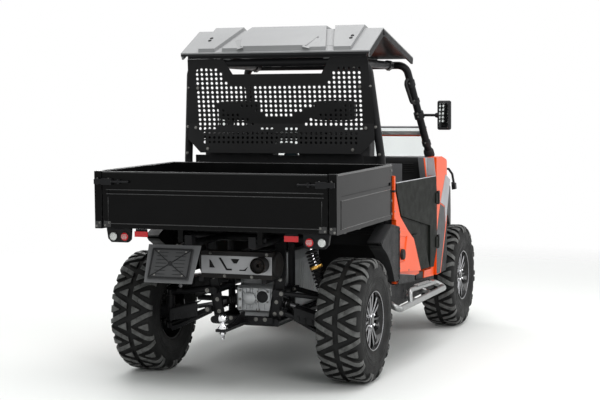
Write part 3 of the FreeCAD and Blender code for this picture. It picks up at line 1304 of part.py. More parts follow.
def make_bull_bar():
    x, y = guard_front_x - bar_radius, rail_y + 30
    side = tube([
        (frame_front_x + rail_radius + seat_gap, rail_y, rail_z), (x - 160, rail_y, rail_z), (x, y, 460),
        (x, y, 620), (x - 30, y, 800),
    ], bar_radius, 60)
    bars = pair(side)
    for bar_x, z in ((x, 480.0), (x, 610.0), (x - 28, 786.0)):
        bars.append(cross_drum(bar_x, (-y, y), z, bar_radius - 3))
    save("bull_bar", [joined(bars)])


make_wheels()
make_suspension()
make_steering()
make_chassis()
make_exhaust()
make_hitch_and_plate()
make_bed()
make_cage()
make_roof()
make_screens()
make_cab()
make_doors()
make_side_panels()
make_fenders()
make_hood_and_nose()
make_bull_bar()
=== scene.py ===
"""Side by side utility vehicle with a tipping bed. Metres, X forward, Y left, Z up, origin on the ground midway
between the axles."""
import bmesh
import bpy
import math
from itertools import product
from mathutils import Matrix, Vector, geometry


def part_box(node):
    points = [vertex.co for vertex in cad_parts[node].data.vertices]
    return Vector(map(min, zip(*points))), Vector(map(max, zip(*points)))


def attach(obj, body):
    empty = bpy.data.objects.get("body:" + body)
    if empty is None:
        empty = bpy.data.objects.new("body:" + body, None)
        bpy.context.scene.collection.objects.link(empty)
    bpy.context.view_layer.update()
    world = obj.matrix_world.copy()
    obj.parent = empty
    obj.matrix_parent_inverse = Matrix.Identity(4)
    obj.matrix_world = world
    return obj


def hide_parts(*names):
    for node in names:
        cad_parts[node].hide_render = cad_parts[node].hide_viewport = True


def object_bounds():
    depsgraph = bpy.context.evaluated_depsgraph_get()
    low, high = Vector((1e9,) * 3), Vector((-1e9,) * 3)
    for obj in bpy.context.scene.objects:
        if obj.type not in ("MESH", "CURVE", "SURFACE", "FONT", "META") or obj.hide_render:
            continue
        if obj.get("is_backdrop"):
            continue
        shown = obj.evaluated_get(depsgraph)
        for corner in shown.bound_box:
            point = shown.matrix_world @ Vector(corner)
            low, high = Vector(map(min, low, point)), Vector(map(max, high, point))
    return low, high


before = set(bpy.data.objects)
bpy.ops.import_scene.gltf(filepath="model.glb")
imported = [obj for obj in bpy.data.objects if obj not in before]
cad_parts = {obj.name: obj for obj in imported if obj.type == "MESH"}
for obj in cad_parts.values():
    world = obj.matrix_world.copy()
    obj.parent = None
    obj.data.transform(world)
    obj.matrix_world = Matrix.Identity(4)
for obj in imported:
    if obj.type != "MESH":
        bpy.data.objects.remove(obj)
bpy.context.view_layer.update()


# Camera
# A long lens from behind and to the right, a little above the bed's rim.
camera_data = bpy.data.cameras.new("camera")
camera_data.lens = 85.26
camera_data.sensor_width = 36.0
camera_data.clip_end = 200.0
camera = bpy.data.objects.new("camera", camera_data)
camera.location = (-7.766, -2.8187, 1.5021)
camera.rotation_euler = [math.radians(turn) for turn in (85.484, 0.446, -69.592)]
bpy.context.scene.collection.objects.link(camera)
bpy.context.scene.camera = camera
bpy.context.scene.view_settings.view_transform = "Standard"


# Floor and studio light
# A wide pale floor that fades out into a white surround, a large soft light overhead and softer ones at the
# sides and the back.
def link_piece(name, data):
    thing = bpy.data.objects.new(name, data)
    bpy.context.scene.collection.objects.link(thing)
    return thing


def node(tree, kind, *values, **named):
    """A shader node. Its inputs take values in their order or by name, with _ for a space, and a socket is linked.
    A name in small letters is a setting of the node itself."""
    made = tree.nodes.new(kind)
    inputs = list(enumerate(values))
    for name, value in named.items():
        if name.islower():
            setattr(made, name, value)
        else:
            inputs.append((name.replace("_", " "), value))
    for key, value in inputs:
        if isinstance(value, bpy.types.NodeSocket):
            tree.links.new(value, made.inputs[key])
        else:
            made.inputs[key].default_value = value
    return made


floor_half = 60.0
floor_fade = (2.2, 5.5)       # where the floor begins to fade and where it is gone
floor_material = bpy.data.materials.new("pale_floor")
floor_material.use_nodes = True
tree = floor_material.node_tree
floor_grain = node(tree, "ShaderNodeTexNoise", Scale=60.0)
floor_bump = node(tree, "ShaderNodeBump", Strength=0.05, Height=floor_grain.outputs["Fac"])
floor_shader = tree.nodes["Principled BSDF"]
floor_shader.inputs["Base Color"].default_value = (0.82, 0.82, 0.81, 1)
floor_shader.inputs["Roughness"].default_value = 0.85
tree.links.new(floor_bump.outputs["Normal"], floor_shader.inputs["Normal"])
floor_place = node(tree, "ShaderNodeNewGeometry").outputs["Position"]
floor_reach = node(tree, "ShaderNodeVectorMath", floor_place, operation="LENGTH").outputs["Value"]
faded = node(tree, "ShaderNodeMapRange", floor_reach, *floor_fade).outputs["Result"]
no_floor = node(tree, "ShaderNodeBsdfTransparent").outputs["BSDF"]
floor_mix = node(tree, "ShaderNodeMixShader", faded, floor_shader.outputs["BSDF"], no_floor)
tree.links.new(floor_mix.outputs["Shader"], tree.nodes["Material Output"].inputs["Surface"])

floor_mesh = bpy.data.meshes.new("floor")
floor_corners = [(x * floor_half, y * floor_half, 0) for x, y in ((-1, -1), (1, -1), (1, 1), (-1, 1))]
floor_mesh.from_pydata(floor_corners, [], [(0, 1, 2, 3)])
floor_mesh.materials.append(floor_material)
link_piece("floor", floor_mesh)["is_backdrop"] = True

world = bpy.data.worlds.new("surround")
world.use_nodes = True
tree = world.node_tree
soft_surround = tree.nodes["Background"]
soft_surround.inputs["Color"].default_value = (0.84, 0.90, 0.88, 1)
soft_surround.inputs["Strength"].default_value = 0.45
white_surround = node(tree, "ShaderNodeBackground", Color=(1, 1, 1, 1), Strength=1.0)
rays = node(tree, "ShaderNodeLightPath").outputs
shows_white = rays["Is Camera Ray"]
for ray in ("Is Transmission Ray", "Is Glossy Ray"):
    shows_white = node(tree, "ShaderNodeMath", shows_white, rays[ray], operation="MAXIMUM").outputs["Value"]
by_ray = node(tree, "ShaderNodeMixShader", shows_white, soft_surround.outputs["Background"],
              white_surround.outputs["Background"])
tree.links.new(by_ray.outputs["Shader"], tree.nodes["World Output"].inputs["Surface"])
bpy.context.scene.world = world

# light's name, place, what it points at, width, length, power
for name, place, aim, width, length, power in (
    ("overhead", (-0.6, -0.4, 4.6), (-0.2, 0, 0.8), 4.0, 5.0, 230.0),
    ("rear_right", (-5.5, -4.5, 3.2), (-0.6, 0, 0.7), 2.6, 2.6, 110.0),
    ("front_left", (4.5, 4.5, 3.4), (0.2, 0, 0.8), 3.0, 3.0, 160.0),
    ("right_side", (1.0, -5.0, 2.6), (0.2, 0, 0.7), 3.0, 2.0, 75.0),
):
    light = bpy.data.lights.new(name, "AREA")
    light.shape = "RECTANGLE"
    light.size, light.size_y, light.energy = width, length, power
    lamp = link_piece(name, light)
    lamp.location = place
    lamp.rotation_euler = (Vector(aim) - Vector(place)).to_track_quat("-Z", "Y").to_euler()


# Chassis frame
# Steel tubes and folded plates, welded and powder coated satin black. Flanges stiffen the rear legs, and zinc
# plated bolts hold the gear case and the tow bar to them.
def surface(name, colour, rough=(0.4, 0.6), mottle=0.12, patch=6.0, grain=400.0, bump=0.15, metal=0.0, wear_and_highlight=None,
            coat=0.0, dust=None, stretch=None, clear=0.0, shine=0.12, painted_shade_below=None, painted_shade_inward=None):
    """A finish with uneven colour and gloss, a fine grain, lighter edges that are wear and, on the bed's black paint,
    painted highlight, dust lying on what faces up, and painted shade on what faces down and on the side turned to the
    vehicle's middle. Stretch draws the grain out, as brushing does. A single number stands for a grey."""
    made = bpy.data.materials.new(name)
    made.use_nodes = True
    tree = made.node_tree
    shader = tree.nodes["Principled BSDF"]
    for socket, value in (("Metallic", metal), ("Specular IOR Level", shine), ("Coat Weight", coat),
                          ("Transmission Weight", clear)):
        shader.inputs[socket].default_value = value
    place = node(tree, "ShaderNodeTexCoord").outputs["Object"]
    normal = node(tree, "ShaderNodeNewGeometry").outputs["Normal"]
    up = node(tree, "ShaderNodeSeparateXYZ", normal).outputs

    def noise(scale, detail, where=place):
        return node(tree, "ShaderNodeTexNoise", Scale=scale, Detail=detail, Vector=where).outputs["Fac"]

    def spread(value, source, target=(0.0, 1.0)):
        return node(tree, "ShaderNodeMapRange", value, *source, *target).outputs["Result"]

    def rgb(value):
        return value if isinstance(value, tuple) else (value,) * 3

    def mixed(share, first, second):
        mix = node(tree, "ShaderNodeMix", share, data_type="RGBA")
        for socket, value in ((mix.inputs[6], first), (mix.inputs[7], second)):
            if isinstance(value, bpy.types.NodeSocket):
                tree.links.new(value, socket)
            else:
                socket.default_value = (*rgb(value), 1)
        return mix.outputs[2]

    def times(first, second):
        return node(tree, "ShaderNodeMath", first, second, operation="MULTIPLY").outputs["Value"]

    dark = tuple(c * (1 - mottle) for c in rgb(colour))
    light = tuple(min(1.0, c * (1 + mottle)) for c in rgb(colour))
    shade = mixed(spread(noise(patch, 5.0), (0.35, 0.65)), dark, light)
    # Lighter edges: wear, and on the bed's black paint a painted highlight.
    if wear_and_highlight:
        rounded = node(tree, "ShaderNodeBevel", Radius=0.0022, samples=4).outputs["Normal"]
        facing = node(tree, "ShaderNodeVectorMath", rounded, normal, operation="DOT_PRODUCT").outputs["Value"]
        edge = spread(facing, (0.985, 0.90))
        shade = mixed(times(edge, spread(noise(patch * 5, 4.0), (0.42, 0.62), (0.1, 0.8))), shade, wear_and_highlight)
    # Painted shade: faces turned downward take the darker colour.
    if painted_shade_below:
        shade = mixed(spread(up["Z"], (-0.60, -0.75)), shade, painted_shade_below)
    # Painted shade: faces turned to the vehicle's middle take the darker colour.
    if painted_shade_inward:
        across = node(tree, "ShaderNodeSeparateXYZ", place).outputs["Y"]
        shade = mixed(spread(times(across, up["Y"]), (-0.05, -0.15)), shade, painted_shade_inward)
    if dust:
        lying = spread(up["Z"], (0.3, 1.0), (0.0, 0.45))
        shade = mixed(times(lying, spread(noise(patch * 2.5, 6.0), (0.4, 0.7), (0.2, 1.0))), shade, dust)
    tree.links.new(shade, shader.inputs["Base Color"])
    tree.links.new(spread(noise(patch * 3, 6.0), (0.3, 0.7), rough), shader.inputs["Roughness"])
    if stretch:
        place = node(tree, "ShaderNodeMapping", Vector=place, Scale=stretch).outputs["Vector"]
    relief = node(tree, "ShaderNodeBump", Strength=bump, Distance=0.001, Height=noise(grain, 2.0, place))
    tree.links.new(relief.outputs["Normal"], shader.inputs["Normal"])
    return made


def round_edges(thing, width, angle=35.0):
    edges = thing.modifiers.new("edges", "BEVEL")
    edges.width = width
    edges.segments = 2
    edges.limit_method = "ANGLE"
    edges.angle_limit = math.radians(angle)
    edges.harden_normals = False


def dress(name, material, bevel=0.0015, angle=35.0):
    """A solid kept as it is: it gets its finish, rounded edges and a smooth shading."""
    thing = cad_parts[name]
    thing.data.materials.clear()
    thing.data.materials.append(material)
    thing.modifiers.new("weld", "WELD").merge_threshold = 0.00002
    round_edges(thing, bevel, angle)
    for face in thing.data.polygons:
        face.use_smooth = True
    thing.modifiers.new("shading", "WEIGHTED_NORMAL").weight = 80


class Form:
    """Points and faces gathered for one piece. Each face has the number of its finish."""

    def __init__(self):
        self.points, self.faces, self.finish = [], [], []

    def loft(self, loops, finish=0, ring=False):
        """Faces from each loop of points to the next, with closed ends. A ring joins its last loop to its
        first. The finish may be a list, with one for each side of a loop."""
        count, start = len(loops[0]), len(self.points)
        finishes = finish if isinstance(finish, list) else [finish] * count
        for loop in loops:
            self.points += [tuple(p) for p in loop]
        for k in range(len(loops) if ring else len(loops) - 1):
            near, far = start + k * count, start + (k + 1) % len(loops) * count
            for m in range(count):
                after = (m + 1) % count
                self.faces.append((near + m, near + after, far + after, far + m))
            self.finish += finishes
        if not ring:
            end = len(self.points) - count
            self.faces += [tuple(range(start, start + count)), tuple(range(end, end + count))]
            self.finish += [finishes[0]] * 2

    def turn(self, profile, centre, axis, steps=24, finish=0, ring=False, wave=lambda t: 1.0):
        """A (radius, height) profile turned about an axis through the centre. The wave scales its radius."""
        centre, axis = Vector(centre), Vector(axis).normalized()
        side = axis.orthogonal().normalized()
        up = axis.cross(side)
        turns = [2 * math.pi * k / steps for k in range(steps)]
        self.loft([[centre + axis * height + (side * math.cos(t) + up * math.sin(t)) * (radius * wave(t))
                    for t in turns] for radius, height in profile], finish, ring)

    def tube(self, path, radius, sides=12, finish=0, ring=False):
        """A round bar along a path. A ring's path comes back to its start."""
        path = [Vector(p) for p in path]
        turns = [2 * math.pi * m / sides for m in range(sides)]
        loops, side = [], None
        for k, point in enumerate(path):
            before = path[k - 1] if k or ring else point
            after = path[(k + 1) % len(path)] if k < len(path) - 1 or ring else point
            way = (after - before).normalized()
            side = (side - way * side.dot(way)).normalized() if side else way.orthogonal().normalized()
            up = way.cross(side)
            loops.append([point + (side * math.cos(t) + up * math.sin(t)) * radius for t in turns])
        self.loft(loops, finish, ring)

    def prism(self, outline, across, span, finish=0):
        """An outline drawn out along axis 0, 1 or 2 between two values."""
        self.loft([[(*p[:across], value, *p[across:]) for p in outline] for value in sorted(span)], finish)

    def block(self, x, y, z, finish=0):
        (x0, x1), (y0, y1) = sorted(x), sorted(y)
        self.prism([(x0, y0), (x1, y0), (x1, y1), (x0, y1)], 2, z, finish)

    def bolt(self, place, axis, radius=0.007, finish=0):
        """A washer with a six-sided head on it."""
        self.turn([(radius * 1.5, 0), (radius * 1.5, 0.0014), (radius, 0.0014)], place, axis, 16, finish)
        self.turn([(radius, 0.001), (radius, 0.0045), (radius * 0.8, 0.0055)], place, axis, 6, finish)

    def bolts(self, places, axis, radius=0.007, finish=0):
        for place in places:
            self.bolt(place, axis, radius, finish)

    def clips(self, places, axis, size, steps=16, finish=0):
        """Round heads. Their size is the radius, the edge's height, the top's radius and height, and where they
        start, which is a little below the surface unless it is given."""
        radius, edge, top, height, foot = (*size, -0.001)[:5]
        for place in places:
            self.turn([(radius, foot), (radius, edge), (top, height)], place, axis, steps, finish)


def piece(name, form, finishes, body="chassis", bevel=0.0, crease=40.0, stands_for=()):
    """An object from a form, riding on a body. Edges that turn more than the crease angle stay sharp."""
    mesh = bpy.data.meshes.new(name)
    mesh.from_pydata(form.points, [], form.faces)
    for material in finishes:
        mesh.materials.append(material)
    mesh.polygons.foreach_set("material_index", form.finish)
    work = bmesh.new()
    work.from_mesh(mesh)
    bmesh.ops.recalc_face_normals(work, faces=work.faces)
    work.to_mesh(mesh)
    work.free()
    mesh.shade_smooth()
    mesh.set_sharp_from_angle(angle=math.radians(crease))
    thing = link_piece(name, mesh)
    if bevel:
        round_edges(thing, bevel)
    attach(thing, body)
    if stands_for:
        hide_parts(*stands_for)
    return thing


sides = (-1, 1)
frame_paint = surface("frame_paint", (0.012, 0.012, 0.013), (0.32, 0.5), grain=900, bump=0.12, wear_and_highlight=0.05)
zinc = surface("zinc_plate", (0.17, 0.168, 0.158), (0.25, 0.45), grain=800, bump=0.1, metal=1.0)
dress("chassis_frame", frame_paint, 0.002)

leg_face_x = -1.010
leg_half = 0.028
leg_plate = 0.003
leg_middle = ((0.152, 0.318), (0.192, 0.548), (0.192, 0.700))      # from the foot over the knee to the upper rail
leg_flange, leg_bolts = Form(), Form()
for side in sides:
    for edge in (-leg_half, leg_half - leg_plate):
        outline = [(side * (y + edge), z) for y, z in leg_middle]
        outline += [(side * (y + edge + leg_plate), z) for y, z in leg_middle[::-1]]
        leg_flange.prism(outline, 0, (leg_face_x - 0.009, leg_face_x + 0.001))
    places = ((0.188, 0.52), (0.166, 0.402), (0.156, 0.34))
    leg_bolts.bolts([(leg_face_x, side * y, z) for y, z in places], (-1, 0, 0))
piece("leg_flanges", leg_flange, [frame_paint], bevel=0.001)
piece("leg_bolts", leg_bolts, [zinc])


# Skid plate
# A moulded black plastic plate under the frame, turned up at the front and held by dished screws.
moulded_black = surface("moulded_black", (0.019, 0.019, 0.020), (0.45, 0.62), grain=1400, bump=0.3, wear_and_highlight=0.06)
dress("skid_plate", moulded_black)
skid_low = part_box("skid_plate")[0].z
skid_screws = Form()
screw_places = [(x, y, skid_low) for x in (-0.92, -0.55, -0.18, 0.19, 0.56, 0.93) for y in (-0.15, 0.15)]
skid_screws.clips(screw_places, (0, 0, -1), (0.011, 0.001, 0.006, 0.003, 0))
piece("skid_screws", skid_screws, [zinc])


# Engine
# An aluminium block under the bed, cast with ribs that carry its heat away, with a pressed cover on top.
cast_metal = surface("cast_metal", (0.46, 0.47, 0.48), (0.4, 0.6), grain=700, bump=0.5, metal=0.6)
dress("engine", cast_metal, 0.006)
low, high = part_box("engine")
rib_count, rib_half, rib_proud, rib_margin = 12, 0.003, 0.004, 0.05
engine_ribs = Form()
for k in range(rib_count):
    x = low.x + 0.03 + k * (high.x - low.x - 0.06) / (rib_count - 1)
    for y in (low.y, high.y):
        engine_ribs.block((x - rib_half, x + rib_half), (y - rib_proud, y + rib_proud),
                          (low.z + rib_margin, high.z - rib_margin))
engine_ribs.block((low.x + rib_margin, high.x - 0.12), (low.y + rib_margin, high.y - rib_margin),
                  (high.z, high.z + 0.012), 1)
piece("engine_ribs", engine_ribs, [cast_metal, moulded_black], bevel=0.002)


# Gear cases
# Two cast aluminium cases, one over each axle. The rear one shows its ribs, its bolted flange and a black cap
# with a raised ring, and a plug to drain it.
dress("gear_cases", cast_metal, 0.003)
case_rear = -0.988
cap = Vector((case_rear, -0.084, 0.424))
hub = Vector((case_rear, -0.010, 0.412))
backward = Vector((-1, 0, 0))
case_parts = Form()
case_parts.turn([(0.031, 0), (0.031, 0.015), (0.026, 0.019), (0.02, 0.019), (0.016, 0.022), (0, 0.022)], cap,
                backward, 32, 1)
case_parts.turn([(0.04, 0), (0.04, 0.008), (0.033, 0.01)], cap, backward, 32)
for turn in (45, 135, 225, 315):
    y, z = 0.037 * math.cos(math.radians(turn)), 0.037 * math.sin(math.radians(turn))
    case_parts.bolt(cap + backward * 0.008 + Vector((0, y, z)), backward, 0.004, 2)
case_parts.block((case_rear - 0.014, case_rear + 0.002), (0.03, 0.05), (0.35, 0.466))
case_parts.bolts([(case_rear - 0.014, 0.04, z) for z in (0.362, 0.408, 0.454)], backward, 0.005, 2)
case_parts.turn([(0.034, 0), (0.034, 0.01), (0.024, 0.016)], hub, backward, 32)
for turn in range(0, 360, 45):
    y, z = math.cos(math.radians(turn)), math.sin(math.radians(turn))
    loops = []
    for reach, thick, stand in ((0.026, 0.0028, 0.012), (0.062, 0.0022, 0.004)):
        middle = hub + Vector((0, y * reach, z * reach * 0.85))
        beside = Vector((0, -z, y)) * thick
        loops.append([middle - beside, middle + beside, middle + beside + backward * stand,
                      middle - beside + backward * stand])
    case_parts.loft(loops)
case_parts.bolt((case_rear, -0.055, 0.352), backward, 0.008, 2)
piece("gear_case_parts", case_parts, [cast_metal, moulded_black, zinc], bevel=0.0008)


# Drive shafts
# Plain steel shafts from each gear case to its wheels and from the engine to the front. Folded rubber boots
# cover the joints at their ends.
bare_steel = surface("bare_steel", (0.30, 0.30, 0.31), (0.3, 0.5), grain=700, bump=0.2, metal=0.9)
rubber = surface("rubber", 0.013, (0.5, 0.72), mottle=0.25, grain=900, bump=0.3, dust=(0.06, 0.055, 0.05))
dress("drive_shafts", bare_steel)
axle_x = 0.932
wheel_z = 0.318
boot = [(0.014, 0), (0.033, 0), (0.033, 0.006)]
for k in range(4):
    boot += [(0.031 - k * 0.0042, 0.010 + k * 0.013), (0.0345 - k * 0.0042, 0.0165 + k * 0.013)]
boot += [(0.0185, 0.062), (0.0185, 0.07), (0.012, 0.07)]
boots = Form()
# axle's x, y and z where a shaft leaves its gear case, y where it meets the knuckle
for x, case_y, case_z, knuckle_y in (
    (-axle_x, 0.068, 0.398, 0.448), (-axle_x, -0.146, 0.398, -0.448),
    (axle_x, 0.072, 0.388, 0.458), (axle_x, -0.072, 0.388, -0.458),
):
    start, end = Vector((x, case_y, case_z)), Vector((x, knuckle_y, wheel_z))
    way = (end - start).normalized()
    boots.turn(boot, start + way * 0.002, way)
    boots.turn(boot, end - way * 0.012, -way)
piece("shaft_boots", boots, [rubber])


# Suspension arms
# Welded tube wishbones in black, with bushes at the frame and ribbed plastic guards under the lower ones. Each
# bush turns on a zinc plated bolt, and a bracket of the frame holds the bolt on both sides.
arm_paint = surface("arm_paint", (0.013, 0.013, 0.014), (0.28, 0.42), grain=700, bump=0.15, wear_and_highlight=0.06)
dress("suspension_arms", arm_paint, 0.001)
bush_y = 0.207
bracket_plate = 0.004
arm_bolts, brackets = Form(), Form()
for axle, side, share, z, end in product((-axle_x, axle_x), sides, (-0.094, 0.094), (0.352, 0.452), sides):
    x = axle + share + end * 0.0165
    arm_bolts.bolt((x + end * bracket_plate, side * bush_y, z), (end, 0, 0), 0.0075)
    brackets.block((x, x + end * bracket_plate), (side * 0.186, side * (bush_y + 0.014)), (z - 0.016, z + 0.016))
piece("arm_bolts", arm_bolts, [zinc])
piece("arm_brackets", brackets, [frame_paint])
guards = Form()
guard_x = -1.034
guard_wall = 0.004
for side in sides:
    face, lid = [], []
    for y, low_z, high_z in ((side * 0.270, 0.312, 0.384), (side * 0.430, 0.280, 0.341)):
        face.append([(guard_x, y, low_z), (guard_x, y, high_z), (guard_x + guard_wall, y, high_z),
                     (guard_x + guard_wall, y, low_z)])
        lid.append([(guard_x, y, high_z - guard_wall), (guard_x, y, high_z), (guard_x + 0.05, y, high_z + 0.006),
                    (guard_x + 0.05, y, high_z + 0.002)])
    guards.loft(face)
    guards.loft(lid)
    for share in (0.15, 0.38, 0.62, 0.85):
        y, low_z = side * (0.270 + 0.160 * share), 0.312 - 0.032 * share       # along the guard's lower edge
        guards.block((guard_x - 0.006, guard_x), (y - 0.006, y + 0.006), (low_z + 0.003, low_z + 0.03))
piece("arm_guards", guards, [moulded_black], bevel=0.0012)


# Knuckles and brake calipers
# Cast steel carriers for the wheels, painted black. Each carries a two-piston caliper over the brake disc, with
# a bleed screw. The front ones turn with their knuckles.
for name in ("rear_knuckles", "knuckle_front_left", "knuckle_front_right"):
    dress(name, arm_paint)
# place, side, body, axle's x, y of the disc's inner face
for place, side, body, axle, disc_y in (
    ("rear_left", 1, "chassis", -axle_x, 0.569), ("rear_right", -1, "chassis", -axle_x, 0.569),
    ("front_left", 1, "knuckle_left", axle_x, 0.567), ("front_right", -1, "knuckle_right", axle_x, 0.567),
):
    caliper = Form()
    # y from and to, inner and outer radius round the hub
    for near, far, low_r, high_r in ((-0.024, -0.002, 0.058, 0.104), (0.008, 0.022, 0.062, 0.104),
                                     (-0.024, 0.022, 0.0955, 0.110)):
        outline = []
        for turn, radius in ((28, low_r), (28, high_r), (45, high_r), (62, high_r), (62, low_r), (45, low_r)):
            angle = math.radians(turn)
            outline.append((axle - radius * math.cos(angle), wheel_z + radius * math.sin(angle)))
        caliper.loft([[(x, side * (disc_y + y), z) for x, z in outline] for y in (near, far)])
    caliper.tube([(axle - 0.030, side * (disc_y - 0.030), wheel_z + 0.020),
                  (axle - 0.056, side * (disc_y - 0.018), wheel_z + 0.056)], 0.013, 10)
    caliper.bolt((axle - 0.058, side * (disc_y - 0.024), wheel_z + 0.058), (0, -side, 0), 0.006, 1)
    piece(f"caliper_{place}", caliper, [bare_steel, zinc], body, bevel=0.002)


# Shock absorbers
# Gas dampers with a chrome rod, a black coil wound from spring wire round each, steel seats at its ends and a
# gold anodised ring that sets its load. Eyes with steel sleeves take the bolts at the arm and the frame.
spring_paint = surface("spring_paint", 0.014, (0.25, 0.4), grain=900, bump=0.1, wear_and_highlight=0.08)
chrome = surface("chrome", (0.78, 0.78, 0.80), (0.06, 0.16), mottle=0.04, grain=500, bump=0.02, metal=1.0)
gold_ring = surface("gold_anodised", (0.72, 0.42, 0.10), (0.25, 0.4), mottle=0.06, grain=600, bump=0.05, metal=1.0)
shock_foot, shock_top = (0.398, 0.458), (0.322, 0.690)      # y and z of the bolts
wire = 0.005
coil_radius = 0.0285
coil_turns = 8
coil_steps = 24
notches = 12
dampers, coils = Form(), Form()
for axle, side in product((-axle_x, axle_x), sides):
    foot, top = (Vector((axle, side * y, z)) for y, z in (shock_foot, shock_top))
    way, length = (top - foot).normalized(), (top - foot).length
    for end in (foot, top):
        dampers.turn([(0.0055, -0.03), (0.0155, -0.03), (0.0155, 0.03), (0.0055, 0.03)], end, (1, 0, 0), ring=True)
        dampers.turn([(0.008, -0.0215), (0.008, 0.0215)], end, (1, 0, 0), 16, 2)
        for turn in sides:
            dampers.bolt(end + Vector((turn * 0.03, 0, 0)), (turn, 0, 0), 0.007, 2)
    # body, rod, upper seat, lower seat
    for profile, steps, finish in (
        ([(0.012, 0.008), (0.019, 0.012), (0.02, 0.018), (0.02, length * 0.5), (0.016, length * 0.52)], 28, 0),
        ([(0.0065, length * 0.5), (0.0065, length - 0.012)], 20, 1),
        ([(0.015, length - 0.04), (0.034, length - 0.036), (0.034, length - 0.03), (0.018, length - 0.022)], 28, 0),
        ([(0.021, 0.022), (0.033, 0.024), (0.034, 0.029), (0.021, 0.031)], 28, 0),
    ):
        dampers.turn(profile, foot, way, steps, finish)
    dampers.turn([(0.0205, 0.122), (0.033, 0.122), (0.034, 0.126), (0.034, 0.134), (0.033, 0.138), (0.0205, 0.138)],
                 foot, way, 48, 3, ring=True, wave=lambda t: 1.0 - 0.05 * (math.cos(notches * t) > 0.6))
    beside = way.orthogonal().normalized()
    across = way.cross(beside)
    for low_end, high_end, share in ((0.033, 0.119, 0.55), (0.141, length - 0.043, 0.45)):
        turns = coil_turns * share
        steps = int(turns * coil_steps)
        path = []
        for k in range(steps + 1):
            angle = 2 * math.pi * turns * k / steps
            level = low_end + (high_end - low_end) * k / steps
            path.append(foot + way * level + (beside * math.cos(angle) + across * math.sin(angle)) * coil_radius)
        coils.tube(path, wire, 8)
piece("dampers", dampers, [frame_paint, chrome, bare_steel, gold_ring], stands_for=["shock_bodies"])
piece("coil_springs", coils, [spring_paint], stands_for=["shock_springs"])


# Steering gear and tie rods
# A rack in a cast housing with rubber seals at its ends, its tie rods out to the knuckles, and the column that
# runs into the dashboard. Each rod has a lock nut and a capped ball joint.
dress("steering_gear", arm_paint)
dress("tie_rods", bare_steel, 0.0008)
rack_x, rack_z, rack_end = 0.844, 0.394, 0.150
rack_seals, rod_ends = Form(), Form()
seal = [(0.0105, 0), (0.02, 0), (0.02, 0.008), (0.0165, 0.011), (0.0185, 0.015), (0.0145, 0.02), (0.0105, 0.022)]
for side in sides:
    rack_seals.turn(seal, (rack_x, side * rack_end, rack_z), (0, side, 0), ring=True)
    rod_ends.turn([(0.012, 0), (0.012, 0.012)], (rack_x, side * 0.425, rack_z), (0, side, 0), 6)
    rod_ends.turn([(0.011, 0), (0.009, 0.004), (0, 0.005)], (rack_x, side * 0.483, rack_z + 0.0075), (0, 0, 1), 20, 1)
piece("rack_seals", rack_seals, [rubber])
piece("rod_ends", rod_ends, [zinc, rubber], "steering_rack")


# Wheels
# Cast aluminium rims painted gloss black, with seven pairs of bars whose edges are machined bright. Four nuts
# and a pressed cap sit on the hub. A wave-edged steel brake disc turns behind each rim.
rim_paint = surface("rim_paint", 0.008, (0.10, 0.22), grain=300, bump=0.03, coat=0.5)
machined = surface("machined_edge", (0.26, 0.26, 0.27), (0.24, 0.38), mottle=0.05, grain=1200, bump=0.12, metal=1.0,
                   stretch=(1, 0.1, 1))
# corner, axle's x, side, middle plane's y, half the tyre's width
wheels = (
    ("rear_left", -axle_x, 1, 0.565, 0.116), ("rear_right", -axle_x, -1, 0.565, 0.116),
    ("front_left", axle_x, 1, 0.575, 0.104), ("front_right", axle_x, -1, 0.575, 0.104),
)
spoke_pairs = 7
nuts, nut_circle = 4, 0.0365
disc_waves = 8
# distance from the hub's middle, half width, rise of the face, depth
spoke = ((0.04, 0.0062, 0, 0.02), (0.075, 0.0054, 0.003, 0.019), (0.115, 0.006, 0.005, 0.02),
         (0.1365, 0.0085, 0.004, 0.024), (0.1435, 0.011, 0, 0.026))


def wheel_way(turn):
    """The way out from a wheel's middle at a turn from the top."""
    return Vector((math.sin(turn), 0, math.cos(turn)))


